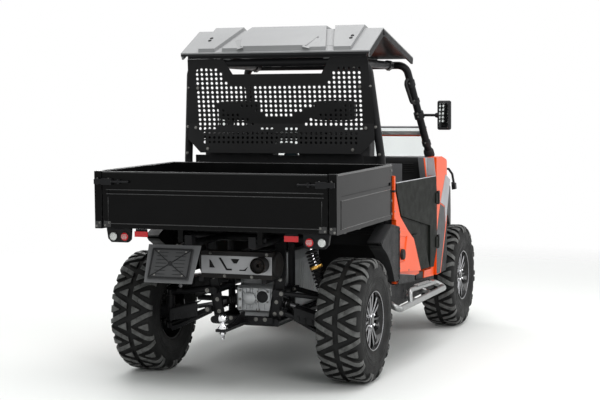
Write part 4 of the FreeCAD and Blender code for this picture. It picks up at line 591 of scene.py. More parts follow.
for corner, axle, side, track_y, half in wheels:
    centre, out = Vector((axle, side * track_y, wheel_z)), Vector((0, side, 0))
    edge = half - 0.012
    face = edge - 0.016
    disc = face - 0.084
    rim = Form()
    # the barrel, its bright edge, the hub, the cap and its bright ring
    for profile, steps, finish, ring in (
        ([(0.154, -edge), (0.154, edge - 0.002), (0.1535, edge + 0.002), (0.15, edge + 0.0035), (0.1465, edge),
          (0.1445, edge - 0.01), (0.14, edge - 0.02), (0.134, edge - 0.034), (0.133, -edge * 0.3),
          (0.14, -edge * 0.75), (0.144, -edge)], 84, 0, True),
        ([(0.1508, edge + 0.0028), (0.1522, edge + 0.004), (0.149, edge + 0.0042), (0.1475, edge + 0.002)],
         84, 1, True),
        ([(0.0215, face - 0.084), (0.048, face - 0.084), (0.048, face - 0.006), (0.044, face),
          (0.027, face + 0.001), (0.0215, face - 0.004)], 48, 0, True),
        ([(0.026, face - 0.004), (0.026, face + 0.004), (0.022, face + 0.008), (0.01, face + 0.009)], 32, 0, False),
        ([(0.0262, face + 0.0015), (0.0275, face + 0.003), (0.0255, face + 0.0052), (0.0245, face + 0.004)],
         32, 1, True),
    ):
        rim.turn(profile, centre, out, steps, finish, ring)
    for k in range(nuts):
        nut = centre + wheel_way(2 * math.pi * (k + 0.5) / nuts) * nut_circle + out * (face - 0.002)
        rim.turn([(0.0072, 0), (0.0072, 0.008), (0.005, 0.013), (0, 0.014)], nut, out, 6, 2)
    for k, way in product(range(spoke_pairs), sides):
        turn = 2 * math.pi * k / spoke_pairs
        outward, beside = wheel_way(turn), wheel_way(turn + math.pi / 2)
        loops = []
        for reach, wide, rise, deep in spoke:
            middle = centre + outward * reach + beside * way * (0.0085 + (reach - 0.04) * 0.16) + out * (face + rise)
            section = ((-1, deep), (-1, 0.0042), (-0.42, 0), (0.42, 0), (1, 0.0042), (1, deep))
            loops.append([middle + beside * wide * share - out * drop for share, drop in section])
        rim.loft(loops, [0, 1, 0, 1, 0, 0])
    rim.turn([(0.05, disc), (0.0915, disc), (0.0915, disc + 0.006), (0.05, disc + 0.006)], centre, out, 96, 3,
             ring=True, wave=lambda t: 1.0 + 0.018 * (math.cos(disc_waves * t) - 1))
    piece(f"rim_{corner}_cast", rim, [rim_paint, machined, chrome, bare_steel], f"wheel_{corner}", crease=30.0,
          stands_for=[f"rim_{corner}"])


# Tyres
# Black rubber for mud: slanted bars lean to and fro round both halves of the tread and wrap over the shoulder,
# with three-cornered blocks in the wide openings between them, a smooth groove round the middle, and fine
# raised rings on the side walls.
# Lug tops in lighter grey: partly wear and dust, partly a painted highlight.
worn_and_highlit_rubber = surface("worn_and_highlit_rubber", (0.100, 0.100, 0.098), (0.45, 0.65), mottle=0.3, patch=30, grain=700, bump=0.4)
tyre_radius = 0.318
bars_round = 22
bar_lean = math.tan(math.radians(28))
bar_width = 0.0275            # measured along the tread
groove_half = 0.013
wall_steps = 132
full_depth = 0.018


def tyre_form(centre, out, half):
    form = Form()
    side_wall = [
        (0.1543, half - 0.0135), (0.162, half - 0.009), (0.17, half - 0.0105), (0.19, half - 0.004),
        (0.204, half - 0.0022), (0.2052, half - 0.001), (0.2066, half - 0.0022), (0.225, half - 0.0008),
        (0.2262, half + 0.0004), (0.2276, half - 0.0008), (0.252, half - 0.0008), (0.27, half - 0.0035),
        (0.284, half - 0.009), (0.294, half - 0.016), (0.2995, half - 0.028), (0.301, half * 0.45), (0.3018, 0.012),
    ]
    form.turn(side_wall + [(r, -w) for r, w in side_wall[::-1]], centre, out, wall_steps, ring=True)

    def block(angle, way, stations):
        """A block of tread. Each station has its place across, its middle and half width along the tread, the
        radius of its top, its depth, and how far its foot comes in."""
        loops = []
        for across, middle, wide, top, deep, inward in stations:
            loop = []
            for share, drop in ((-1.12, deep), (-1, 0.0022), (-0.9, 0), (0.9, 0), (1, 0.0022), (1.12, deep)):
                turn = angle + (middle + share * wide) / tyre_radius
                aside = way * (across - drop / full_depth * inward)
                loop.append(centre + wheel_way(turn) * (top - drop) + out * aside)
            loops.append(loop)
        form.loft(loops, [0, 1, 1, 1, 0, 0])

    mid = (groove_half + half - 0.003) / 2
    # place across, radius of the top, depth, how far the foot comes in
    bar = ((groove_half, 0.314, 0.014, 0), (groove_half + 0.0015, 0.3168, 0.016, 0), (0.046, 0.3175, 0.018, 0),
           (0.0475, 0.315, 0.016, 0), (0.0505, 0.315, 0.016, 0), (0.052, 0.3175, 0.018, 0),
           (half - 0.034, 0.3165, 0.018, 0), (half - 0.02, 0.313, 0.018, 0.003), (half - 0.009, 0.305, 0.016, 0.008),
           (half - 0.0015, 0.292, 0.01, 0.012), (half + 0.0012, 0.276, 0.004, 0.016),
           (half - 0.001, 0.269, 0.002, 0.016))
    # place across, half width, radius of the top, for the blocks at the middle and at the shoulder
    inner_block = ((0.015, 0.02, 0.314), (0.0165, 0.0215, 0.3168), (0.034, 0.014, 0.3175), (0.052, 0.0065, 0.3172),
                   (0.062, 0.0022, 0.3165))
    outer_block = ((half - 0.06, 0.0025, 0.316), (half - 0.045, 0.0085, 0.3165), (half - 0.028, 0.015, 0.315),
                   (half - 0.014, 0.02, 0.3085), (half - 0.01, 0.02, 0.304))
    for number, way in product(range(bars_round), sides):
        lean = bar_lean * (-1) ** (number + (way > 0))
        angle = 2 * math.pi * (number + 0.5) / bars_round
        between = 2 * math.pi * (number + 1) / bars_round
        block(angle, way, [(across, lean * (across - mid), bar_width / 2, *rest) for across, *rest in bar])
        # where the bars part towards the middle the block lies there, elsewhere at the shoulder
        rows, inward = (inner_block, 0) if lean > 0 else (outer_block, 0.004)
        block(between, way, [(across, 0, wide, top, 0.016, inward) for across, wide, top in rows])
    return form


for corner, axle, side, track_y, half in wheels:
    tread = tyre_form(Vector((axle, side * track_y, wheel_z)), Vector((0, side, 0)), half)
    piece(f"tyre_{corner}_tread", tread, [rubber, worn_and_highlit_rubber], f"wheel_{corner}", crease=32.0,
          stands_for=[f"tyre_{corner}"])


# Muffler and its shield
# A black painted steel can on a cradle, with a round spark-catching outlet. A silver painted pressed shield
# with slanted cut-outs stands behind it on two straps, held by four small bolts.
exhaust_paint = surface("exhaust_paint", (0.014, 0.013, 0.013), (0.4, 0.6), mottle=0.2, grain=1100, bump=0.2,
                        wear_and_highlight=(0.10, 0.07, 0.05))
silver_paint = surface("silver_paint", (0.33, 0.33, 0.34), (0.38, 0.5), mottle=0.05, grain=1500, bump=0.12,
                       metal=0.35)
dress("muffler", exhaust_paint, 0.001)
dress("muffler_shield", silver_paint, 0.0008)
outlet = Vector((-1.280, -0.172, 0.622))
strap_x = -1.2226
can_parts = Form()
for profile in (
    [(0.0385, 0), (0.0405, 0.001), (0.0405, 0.006), (0.0385, 0.008), (0.0325, 0.008), (0.0325, 0)],
    [(0.0318, 0.016), (0.0318, 0.02), (0.012, 0.02), (0.012, 0.004), (0.01, 0.004), (0.01, 0.016)],
):
    can_parts.turn(profile, outlet, (1, 0, 0), 40, ring=True)
for turn in range(0, 360, 60):
    y, z = 0.022 * math.cos(math.radians(turn)), 0.022 * math.sin(math.radians(turn))
    can_parts.turn([(0.004, 0.012), (0.004, 0.017)], outlet + Vector((0, y, z)), (1, 0, 0), 12)
for y in (0.150, -0.214):
    band = [(0.0665, -0.003), (0.069, -0.002), (0.069, 0.002), (0.0665, 0.003)]
    can_parts.turn(band, (-1.150, y, 0.613), (0, 1, 0), 64, ring=True)
strap_ends = ((0.1075, 0.6715), (-0.2, 0.6715), (0.03, 0.5575), (-0.118, 0.5575))
can_parts.bolts([(strap_x, y, z) for y, z in strap_ends], (-1, 0, 0), 0.0055, 1)
piece("muffler_parts", can_parts, [exhaust_paint, zinc])


# Tow bar and ball
# A black steel bar with a gusset, bolted to the rear cross tube. The chromed ball stands on its own stem, with
# a collar above the bar and a nut and spring washer below it.
bar_low, bar_top = 0.292, 0.306
hitch = Form()
hitch.block((-1.35, -1.044), (-0.028, 0.028), (bar_low, bar_top))
hitch.block((-1.056, -1.0445), (-0.162, 0.162), (bar_low, bar_top + 0.02))
hitch.prism([(-1.0445, bar_top), (-1.0445, 0.352), (-1.074, 0.352), (-1.23, bar_top)], 1, (-0.005, 0.005))
hitch.bolts([(-1.056, y, 0.316) for y in (-0.12, -0.07, 0.07, 0.12)], (-1, 0, 0), 0.0075, 2)
piece("tow_bar", hitch, [frame_paint, chrome, zinc], bevel=0.0015, stands_for=["tow_hitch"])
tow_ball = Form()
ball_x, ball_z, ball_radius = -1.322, 0.357, 0.024
stem = []
for k in range(14):
    turn = math.pi * (k / 13 * 0.86)
    stem.append((ball_radius * math.sin(turn), ball_z + ball_radius * math.cos(turn)))
stem += [(0.0125, 0.333), (0.0125, 0.327), (0.021, 0.3135), (0.024, 0.3135), (0.024, 0.3062), (0.0095, 0.3062),
         (0.0095, 0.276)]
for k in range(7):
    stem += [(0.0095, 0.276 - k * 0.0034), (0.0083, 0.2743 - k * 0.0034)]
# the ball on its stem, the spring washer and the nut
for profile, steps in (
    (stem + [(0.008, 0.251)], 40), ([(0.014, 0.2915), (0.014, 0.289), (0.0096, 0.289)], 32),
    ([(0.0135, 0.289), (0.016, 0.287), (0.016, 0.279), (0.0135, 0.277)], 6),
):
    tow_ball.turn(profile, (ball_x, 0, 0), (0, 0, 1), steps)
piece("tow_ball", tow_ball, [chrome])


# Plate bracket and holder
# A folded grey steel plate on a stay, with a black moulded holder screwed to it, coloured grey between its black ribs
# as a painted highlight. The holder's back has a raised border, two crossed ribs over rows of small ones, and a round
# boss where they meet. It is left blank.
bracket_grey = surface("bracket_grey", (0.155, 0.155, 0.160), (0.42, 0.55), mottle=0.08, grain=1500, bump=0.15,
                       wear_and_highlight=0.28)
dress("plate_bracket", bracket_grey)
# Painted highlight: the black holder coloured grey, for the light on its embossed back.
holder_highlight_grey = surface("holder_highlight_grey", (0.070, 0.070, 0.072), (0.45, 0.6), mottle=0.1, grain=1400, bump=0.3)
dress("plate_holder", holder_highlight_grey)
plate_foot, plate_head = Vector((-1.440, 0, 0.540)), Vector((-1.350, 0, 0.721))
rise = (plate_head - plate_foot).normalized()
plate_out = Vector((-rise.z, 0, rise.x))
holder_face = 0.0163
holder_ribs = Form()


def on_holder(y, up, stand=0.0):
    return plate_foot + rise * up + plate_out * (holder_face + stand) + Vector((0, y, 0))


def holder_rib(start, end, width, height):
    """A raised strip on the holder between two (y, distance up) points."""
    (ay, az), (by, bz) = start, end
    length = math.hypot(by - ay, bz - az)
    ny, nz = -(bz - az) / length * width / 2, (by - ay) / length * width / 2
    loops = []
    for stand, share in ((-0.001, 1.0), (height, 0.7)):
        corners = [(ay + ny * share, az + nz * share), (by + ny * share, bz + nz * share),
                   (by - ny * share, bz - nz * share), (ay - ny * share, az - nz * share)]
        loops.append([on_holder(y, up, stand) for y, up in corners])
    holder_ribs.loft(loops)


left, right, low_up, high_up = 0.348, 0.137, 0.024, 0.174
corners = [(left, low_up), (left, high_up), (right, high_up), (right, low_up)]
for start, end in zip(corners, corners[1:] + corners[:1]):
    holder_rib(start, end, 0.010, 0.0035)
for start, end in ((corners[0], corners[2]), (corners[1], corners[3])):
    holder_rib(start, end, 0.0055, 0.0030)
for k in range(7):
    up = low_up + 0.018 + k * 0.019
    for y_start, y_end in ((left - 0.026, left - 0.085), (right + 0.085, right + 0.026)):
        holder_rib((y_start, up), (y_end, up), 0.0030, 0.0016)
holder_middle = on_holder((left + right) / 2, (low_up + high_up) / 2)
holder_ribs.clips([holder_middle], plate_out, (0.012, 0.003, 0.009, 0.0035), 24)
screws = [on_holder(y, up) for up in (high_up - 0.012, low_up + 0.012) for y in (left - 0.03, right + 0.03)]
holder_ribs.clips(screws, plate_out, (0.005, 0.002, 0.003, 0.003, 0), 12, 1)
piece("holder_ribs", holder_ribs, [moulded_black, zinc])
stay_bolts = Form()
stay_bolts.bolts([(-1.330, y, 0.7203) for y in (0.217, 0.237)], (0, 0, 1), 0.006)
piece("stay_bolts", stay_bolts, [zinc])


# Cab tub
# A moulded black plastic floor, seat box and rear wall in one, with anti-slip ribs in the footwell and a raised
# tunnel between the places.
dress("cab_tub", moulded_black)
footwell_z = 0.366
floor_ribs = Form()
for k in range(14):
    x = 0.045 + k * 0.033
    for y in ((-0.47, -0.075), (0.075, 0.47)):
        floor_ribs.block((x, x + 0.01), y, (footwell_z - 0.001, footwell_z + 0.003))
tunnel_top = footwell_z + 0.045
floor_ribs.prism([(-0.06, footwell_z), (0.06, footwell_z), (0.045, tunnel_top), (-0.045, tunnel_top)], 0, (0.005, 0.54))
piece("floor_ribs", floor_ribs, [moulded_black], bevel=0.0015)
pedals = Form()
pedals.block((0.47, 0.482), (0.215, 0.255), (0.47, 0.56))
pedals.block((0.462, 0.474), (0.295, 0.375), (0.48, 0.545))
for y, z in ((0.235, 0.555), (0.335, 0.540)):
    pedals.tube([(0.474, y, z), (0.5, y, z + 0.12), (0.545, y, z + 0.2)], 0.008, 10)
piece("pedals", pedals, [frame_paint], bevel=0.003)


# Seats
# Two places side by side: foam cushions, backs and headrests covered in black grained vinyl, with piping round
# the sewn edges and channels across the middle. Each stands on the seat box or against the rear wall.
def let_in(outline, room):
    """The outline with each corner drawn towards its middle by a distance."""
    middle_x = sum(x for x, z in outline) / len(outline)
    middle_z = sum(z for x, z in outline) / len(outline)
    moved = []
    for x, z in outline:
        reach = math.hypot(x - middle_x, z - middle_z)
        moved.append((x + (middle_x - x) / reach * room, z + (middle_z - z) / reach * room))
    return moved


def evaluated_mesh(thing):
    bpy.context.view_layer.update()
    return bpy.data.meshes.new_from_object(thing.evaluated_get(bpy.context.evaluated_depsgraph_get()))


vinyl = surface("vinyl", (0.017, 0.017, 0.018), (0.42, 0.58), mottle=0.1, grain=1500, bump=0.4)
piping_vinyl = surface("piping_vinyl", (0.05, 0.05, 0.055), (0.4, 0.5), mottle=0.1, grain=1500, bump=0.3)
seat_middle = 0.282
pad_inset = 0.012             # the pad before it is filled out, inside its solid
pad_swell = 0.015             # the furthest that filling may move a point
voxel = 0.008
fill_pressure, fill_frames = 4.0, 20
# name, solids it stands for, (x, z) outline, half width
pad_shapes = (
    ("cushion", ["seat_cushions"],
     [(-0.428, 0.652), (0.014, 0.652), (0.022, 0.724), (-0.022, 0.758), (-0.428, 0.736)], 0.233),
    ("back", ["seat_backs"],
     [(-0.432, 0.765), (-0.3, 0.765), (-0.336, 1.262), (-0.366, 1.298), (-0.432, 1.298)], 0.233),
    ("headrest", [], [(-0.43, 1.317), (-0.362, 1.317), (-0.362, 1.438), (-0.43, 1.438)], 0.128),
)
pads = []
for (side_name, side), (name, solids, outline, half) in product((("left", 1), ("right", -1)), pad_shapes):
    form = Form()
    reach = half - pad_inset
    form.prism(let_in(outline, pad_inset), 1, (side * seat_middle - reach, side * seat_middle + reach))
    pad = piece(f"{name}_{side_name}", form, [vinyl], stands_for=solids if side > 0 else [])
    remesh = pad.modifiers.new("foam", "REMESH")
    remesh.mode = "VOXEL"
    remesh.voxel_size = voxel
    pads.append((pad, name, side, half))
for pad, *_ in pads:
    foam = evaluated_mesh(pad)
    pad.modifiers.clear()
    pad.data = foam
start_points = {}
for pad, *_ in pads:
    start_points[pad.name] = [v.co.copy() for v in pad.data.vertices]
    cloth = pad.modifiers.new("cover", "CLOTH")
    cloth.settings.use_pressure = True
    cloth.settings.uniform_pressure_force = fill_pressure
    cloth.settings.effector_weights.gravity = 0.0
    cloth.settings.quality = 4
for step in range(1, fill_frames + 1):
    bpy.context.scene.frame_set(step)
filled = {pad.name: evaluated_mesh(pad) for pad, *_ in pads}
bpy.context.scene.frame_set(1)
for pad, *_ in pads:
    pad.modifiers.clear()
    for vertex, start, after in zip(pad.data.vertices, start_points[pad.name], filled[pad.name].vertices):
        moved = after.co - start
        if moved.length > pad_swell:
            moved *= pad_swell / moved.length
        vertex.co = start + moved

channel_pitch = 0.058
channel_depth = 0.006
channel_share = 0.28          # of the pitch
piping_radius = 0.0032
seam_inset = 0.02
seam_points = 12
piping = Form()
for pad, name, side, half in pads:
    mesh = pad.data
    normals = [v.normal.copy() for v in mesh.vertices]
    for vertex, normal in zip(mesh.vertices, normals):
        facing, along = (normal.z, vertex.co.x) if name == "cushion" else (normal.x, vertex.co.z)
        if name == "headrest" or abs(vertex.co.y - side * seat_middle) > half * 0.72 or facing < 0.5:
            continue
        near = abs((along / channel_pitch) % 1.0 - 0.5) * 2.0
        vertex.co -= normal * channel_depth * max(0.0, (near - 1.0 + channel_share) / channel_share) ** 2
    mesh.shade_smooth()
    cover = pad.modifiers.new("cover", "SUBSURF")
    cover.levels = cover.render_levels = 1
    low, high = (Vector([pick(v.co[axis] for v in mesh.vertices) for axis in range(3)]) for pick in (min, max))
    right, left = low.y + seam_inset, high.y - seam_inset
    if name == "cushion":
        rear, front = low.x + seam_inset, high.x - 0.045
        corners = [(x, y, high.z) for x, y in ((rear, right), (front, right), (front, left), (rear, left))]
    else:
        foot, head = low.z + seam_inset, high.z - seam_inset
        corners = [(high.x, y, z) for y, z in ((right, foot), (left, foot), (left, head), (right, head))]
    path = []
    for start, end in zip(corners, corners[1:] + corners[:1]):
        for k in range(seam_points):
            place, normal = pad.closest_point_on_mesh(Vector(start).lerp(Vector(end), k / seam_points))[1:3]
            path.append(place + normal * 0.0008)
    piping.tube(path, piping_radius, 8, ring=True)
    if name == "headrest":
        for y in (-0.045, 0.045):
            piping.tube([(-0.396, side * seat_middle + y, z) for z in (1.285, 1.335)], 0.006)
piece("seat_piping", piping, [piping_vinyl])


# Dashboard
# A grey moulded dashboard across the cab with a round instrument in front of the driver, a row of rocker
# switches, a glove box lid, air vents, a lamp knob and a lever for the gears.
moulded_grey = surface("moulded_grey", (0.20, 0.20, 0.21), (0.45, 0.6), mottle=0.06, grain=1400, bump=0.3, wear_and_highlight=0.3)
pale_grey = surface("pale_grey", (0.40, 0.40, 0.42), (0.42, 0.55), mottle=0.05, grain=1400, bump=0.2)
# Orange, with painted shade: faces turned to the vehicle's middle are coloured near black.
body_orange = surface("body_orange", (0.88, 0.090, 0.009), (0.28, 0.34), mottle=0.02, patch=2.0, grain=1500,
                      bump=0.04, shine=0.2, painted_shade_inward=0.02)
meter_face = surface("meter_face", (0.02, 0.03, 0.035), (0.08, 0.15), grain=200, bump=0.02, coat=0.6)
dress("dashboard", moulded_black, 0.006)
dress("cowl", moulded_grey, 0.003)
dash_x = 0.392
meter, meter_out = (dash_x + 0.010, 0.282, 1.066), (-0.94, 0, 0.34)
dash_parts = Form()
dash_parts.turn([(0.052, -0.012), (0.052, 0.012), (0.047, 0.018), (0.044, 0.010)], meter, meter_out, 40, 0)
dash_parts.turn([(0.0435, 0.0100), (0.0435, 0.0115)], meter, meter_out, 40, 1)
for k in range(6):
    y = -0.115 + k * 0.034
    dash_parts.block((dash_x - 0.006, dash_x + 0.004), (y, y + 0.026), (1.000, 1.040), 2)
    dash_parts.block((dash_x - 0.008, dash_x - 0.004), (y + 0.004, y + 0.022), (1.022, 1.036), 3)
for y, k in product((-0.500, -0.165, 0.475), range(5)):
    z = 0.995 + k * 0.012
    dash_parts.block((dash_x - 0.005, dash_x + 0.003), (y, y + 0.06), (z, z + 0.005))
dash_parts.block((dash_x - 0.006, dash_x + 0.002), (-0.43, -0.19), (0.905, 1.045), 2)
dash_parts.block((dash_x - 0.012, dash_x - 0.004), (-0.335, -0.285), (1.02, 1.032))
dash_parts.turn([(0.013, 0), (0.013, 0.014), (0.01, 0.017)], (dash_x, 0.135, 1.02), (-1, 0, 0), 20, 2)
lever = [(dash_x + 0.01, 0.055, 0.93), (dash_x - 0.055, 0.055, 0.975), (dash_x - 0.075, 0.055, 1.05)]
dash_parts.tube(lever, 0.006, 10, 3)
knob = [(0, -0.022), (0.014, -0.018), (0.019, 0), (0.016, 0.018), (0, 0.024)]
dash_parts.turn(knob, lever[-1], (-0.26, 0, 0.96), 20)
piece("dash_parts", dash_parts, [moulded_black, meter_face, moulded_grey, zinc], bevel=0.001)

cheeks = Form()
(ax, az), (bx, bz) = (0.262, 1.0885), (0.312, 0.9605)
for side in sides:
    span = (side * 0.594, side * 0.6002)
    cheeks.prism([(ax + 0.001, az - 0.001), (ax + 0.026, az - 0.0015), (bx + 0.024, bz + 0.001),
                  (bx + 0.001, bz + 0.001)], 1, span, 0)
    # the ends of the dashboard beside the doors
    end_face = ((0.6005, 1.086), (0.638, 1.086), (0.65, 0.979), (0.6005, 0.979))
    cheeks.prism([(side * y, z) for y, z in end_face], 0, (0.3448, 0.3482), 1)
    cheeks.block((0.333, 0.3478), (side * 0.574, side * 0.599), (0.979, 1.086))
    cheeks.prism([(ax + 0.029, az - 0.0025), (0.47, 1.0815), (0.47, 0.9615), (bx + 0.027, bz + 0.001)], 1, span, 1)
piece("cheek_panels", cheeks, [body_orange, pale_grey], bevel=0.0015)


# Steering wheel
# A steel core moulded over in soft black plastic, three spokes and a pressed pad in the middle, with thicker
# grips where the hands lie.
soft_black = surface("soft_black", 0.02, (0.5, 0.65), grain=1800, bump=0.4)
dress("steering_wheel", soft_black)
wheel_middle = Vector((0.232, 0.282, 1.012))
tilt = math.radians(32.0)
wheel_up = Vector((-math.cos(tilt), 0, math.sin(tilt)))
wheel_side = Vector((0, 1, 0))
wheel_top = wheel_side.cross(wheel_up)
grips = Form()
wheel_radius, grip_radius = 0.172, 0.0152
for start in (20, 110, 200, 290):
    turns = [math.radians(start + 50 * k / 16) for k in range(17)]
    path = [wheel_middle + (wheel_side * math.cos(t) + wheel_top * math.sin(t)) * wheel_radius for t in turns]
    grips.tube(path, grip_radius, 16)
pad_profile = [(0.04, -0.004), (0.042, 0.006), (0.034, 0.013), (0.02, 0.0155), (0, 0.016)]
grips.turn(pad_profile, wheel_middle, wheel_up, 32)
piece("wheel_grips", grips, [soft_black], "steering_wheel")


# Roll cage
# Bent steel tube in satin black: a rear hoop, a front hoop over the windscreen and two rails between them. The
# rails are clamped with bolted collars, and the front pillars stand in moulded sockets.
dress("roll_cage", frame_paint, 0.001)
pillar_foot, pillar_head = Vector((0.512, 0.570, 1.083)), Vector((0.236, 0.500, 1.628))
hoop_knee, hoop_head = Vector((-0.472, 0.568, 1.113)), Vector((-0.540, 0.515, 1.640))
pillar_radius, rail_y = 0.0222, 0.415
cage = Form()
for side in sides:
    flip = Vector((1, side, 1))
    foot, head = pillar_foot * flip, pillar_head * flip
    way = (head - foot).normalized()
    cage.turn([(0.031, 0.006), (0.031, 0.04), (0.0255, 0.052), (0.0225, 0.052)], foot, way, 28, 1)
    # share of the way up the pillar, length of the collar
    for share, length in ((0.13, 0.030), (0.44, 0.034), (0.60, 0.022), (0.78, 0.034)):
        level = (head - foot).length * share
        collar = [(pillar_radius, level), (0.0265, level), (0.0265, level + length), (pillar_radius, level + length)]
        cage.turn(collar, foot, way, 28, 1)
        for end in sides:
            cage.bolt(foot + way * (level + length / 2) + Vector((end * 0.0262, 0, 0)), (end, 0, 0), 0.0045, 2)
    rear, front = Vector((-0.516, side * rail_y, 1.64)), Vector((0.214, side * rail_y, 1.628))
    for base, along in ((rear, front - rear), (front, rear - front)):
        cage.turn([(pillar_radius, 0.018), (0.0275, 0.02), (0.0275, 0.075), (pillar_radius, 0.077)], base, along, 28)
        for level in (0.033, 0.062):
            cage.bolt(base + along.normalized() * level + Vector((0, 0, -0.0272)), (0, 0, -1), 0.006, 2)
    knee, top = hoop_knee * flip, hoop_head * flip
    knee.x -= 0.0215
    top.x -= 0.0215
    cage.bolts([knee + (top - knee).normalized() * level for level in (0.03, 0.18, 0.4)], (-1, 0, 0), 0.0055, 2)
piece("cage_collars", cage, [frame_paint, moulded_black, zinc], bevel=0.0008)


# Roof
# A moulded grey plastic roof with raised panels, its downward faces darkened as painted shade, held to the cage by
# pairs of black screws. Its rear lip stands higher, with slanted ends. Black trim covers its edges and a seal fills the
# gap below.
# Grey, with painted shade: faces turned downward are coloured near black.
roof_grey = surface("roof_grey", (0.270, 0.270, 0.274), (0.34, 0.46), mottle=0.04, patch=3.0, grain=1600, bump=0.12,
                    painted_shade_below=0.02)
dress("roof", roof_grey, 0.0035, 20.0)
roof_rear, roof_crest, roof_front = Vector((-0.608, 0, 1.697)), Vector((-0.355, 0, 1.823)), Vector((0.230, 0, 1.673))
rear_way, front_way = (roof_crest - roof_rear).normalized(), (roof_crest - roof_front).normalized()
rear_out, front_out = Vector((-rear_way.z, 0, rear_way.x)), Vector((front_way.z, 0, -front_way.x))
roof_half = 0.545
panel_rise = 0.018
roof_parts = Form()
for side in sides:
    for start, way, out, levels, y in ((roof_rear, rear_way, rear_out, (0.118, 0.148), 0.412),
                                       (roof_front, front_way, front_out, (0.140, 0.172), 0.400)):
        places = [start + way * level + out * panel_rise + Vector((0, side * y, 0)) for level in levels]
        roof_parts.clips(places, out, (0.0095, 0.003, 0.006, 0.0045), 20, 1)
    # the slanted end of the rear lip: distance up the slope, inner and outer y
    loops = []
    for level, y_in, y_out in ((0.004, 0.170, 0.194), (0.112, 0.205, 0.255)):
        place = roof_rear + rear_way * level + rear_out * panel_rise
        loops.append([place + Vector((0, side * y, 0)) + rear_out * stand for y, stand in (
            (y_in, -0.003), (y_out + 0.014, -0.003), (y_out, 0.001), (y_in, 0.0092))])
    roof_parts.loft(loops)
lip = roof_half - 0.001
roof_parts.block((roof_rear.x - 0.0022, roof_rear.x + 0.002), (-lip, lip),
                 (roof_rear.z - 0.0185, roof_rear.z - 0.0065), 1)
roof_parts.block((-0.576, -0.566), (-0.518, 0.518), (1.6645, 1.706), 1)
for side in sides:
    for start, out in ((roof_rear, rear_out), (roof_front, front_out)):
        edge = [start - out * 0.007, roof_crest - out * 0.007, roof_crest - out * 0.0405, start - out * 0.0405]
        roof_parts.prism([(p.x, p.z) for p in edge], 1, (side * lip, side * (roof_half + 0.0016)), 1)
piece("roof_parts", roof_parts, [roof_grey, moulded_black], bevel=0.0006)


# Rear screen
# A sheet of steel, punched with rows of round holes that leave plain fields between them, bent back along its
# foot and its top edge, powder coated black and bolted to the hoop through rubber washers.
screen_paint = surface("screen_paint", (0.0135, 0.0135, 0.0140), (0.34, 0.48), mottle=0.08, grain=900, bump=0.15,
                       wear_and_highlight=0.05)
screen_line = ((1.146, -0.5277), (1.308, -0.5197), (1.626, -0.5607), (1.664, -0.5676))      # (z, x)
pitch_y, pitch_z = 0.0286, 0.0250
hole_radius = 0.008
hole_corners = 12
top_row_z = 1.605
columns = 34
# the columns of the left half that are punched, row by row from the top
punched = (
    ((0, 4),), ((0, 5),), ((0, 5),), ((0, 6),), ((1, 16),), ((0, 16),), ((0, 16),), ((0, 16),), ((0, 3), (9, 16)),
    ((0, 5), (12, 16)), ((0, 8), (14, 16)), ((0, 10),), ((0, 11),), ((0, 3), (13, 15)), ((1, 16),), ((1, 16),),
    ((1, 16),),
)


def screen_x(z):
    for (low_z, low_x), (high_z, high_x) in zip(screen_line, screen_line[1:]):
        if z <= high_z:
            break
    return low_x + (high_x - low_x) * (z - low_z) / (high_z - low_z)


rim_line = [(-0.469, 1.146), (0.469, 1.146), (0.545, 1.222), (0.545, 1.25), (0.5232, 1.664), (0.3112, 1.664),
            (0.2585, 1.5785), (-0.2585, 1.5785), (-0.3112, 1.664), (-0.5232, 1.664), (-0.545, 1.25), (-0.545, 1.222)]
flat_points = [Vector(p) for p in rim_line]
flat_edges = [(k, (k + 1) % len(rim_line)) for k in range(len(rim_line))]
for row, runs in enumerate(punched):
    z = top_row_z - row * pitch_z
    for column in range(columns):
        near = min(column, columns - 1 - column)
        if not any(first <= near <= last for first, last in runs):
            continue
        y = (column - (columns - 1) / 2) * pitch_y
        start = len(flat_points)
        for k in range(hole_corners):
            turn = 2 * math.pi * k / hole_corners
            flat_points.append(Vector((y + hole_radius * math.cos(turn), z + hole_radius * math.sin(turn))))
            flat_edges.append((start + k, start + (k + 1) % hole_corners))
outer_face = tuple(range(len(rim_line)))
sheet = geometry.delaunay_2d_cdt(flat_points, flat_edges, [outer_face], 2, 0.00001)
screen_mesh = bpy.data.meshes.new("rear_screen_sheet")
screen_mesh.from_pydata([(0, y, z) for y, z in sheet[0]], [], [tuple(face) for face in sheet[2]])
work = bmesh.new()
work.from_mesh(screen_mesh)
for bend_z, _ in screen_line[1:-1]:
    whole = work.verts[:] + work.edges[:] + work.faces[:]
    bmesh.ops.bisect_plane(work, geom=whole, plane_co=(0, 0, bend_z), plane_no=(0, 0, 1))
for vertex in work.verts:
    vertex.co.x = screen_x(vertex.co.z)
bmesh.ops.recalc_face_normals(work, faces=work.faces)
work.to_mesh(screen_mesh)
work.free()
screen_mesh.materials.append(screen_paint)
screen_sheet = link_piece("rear_screen_sheet", screen_mesh)
thickness = screen_sheet.modifiers.new("thickness", "SOLIDIFY")
thickness.thickness = 0.003
thickness.offset = 0.0
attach(screen_sheet, "chassis")
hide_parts("rear_screen")
screen_bolts = Form()
for side, (y, z) in product(sides, ((0.4719, 1.505), (0.425, 1.168), (0.498, 1.285))):
    place = Vector((screen_x(z) - 0.0015, side * y, z))
    screen_bolts.clips([place], (-1, 0, 0), (0.011, 0.002, 0.008, 0.0025, 0), 20, 1)
    screen_bolts.bolt(place + Vector((-0.002, 0, 0)), (-1, 0, 0), 0.0058)
piece("screen_bolts", screen_bolts, [zinc, rubber])


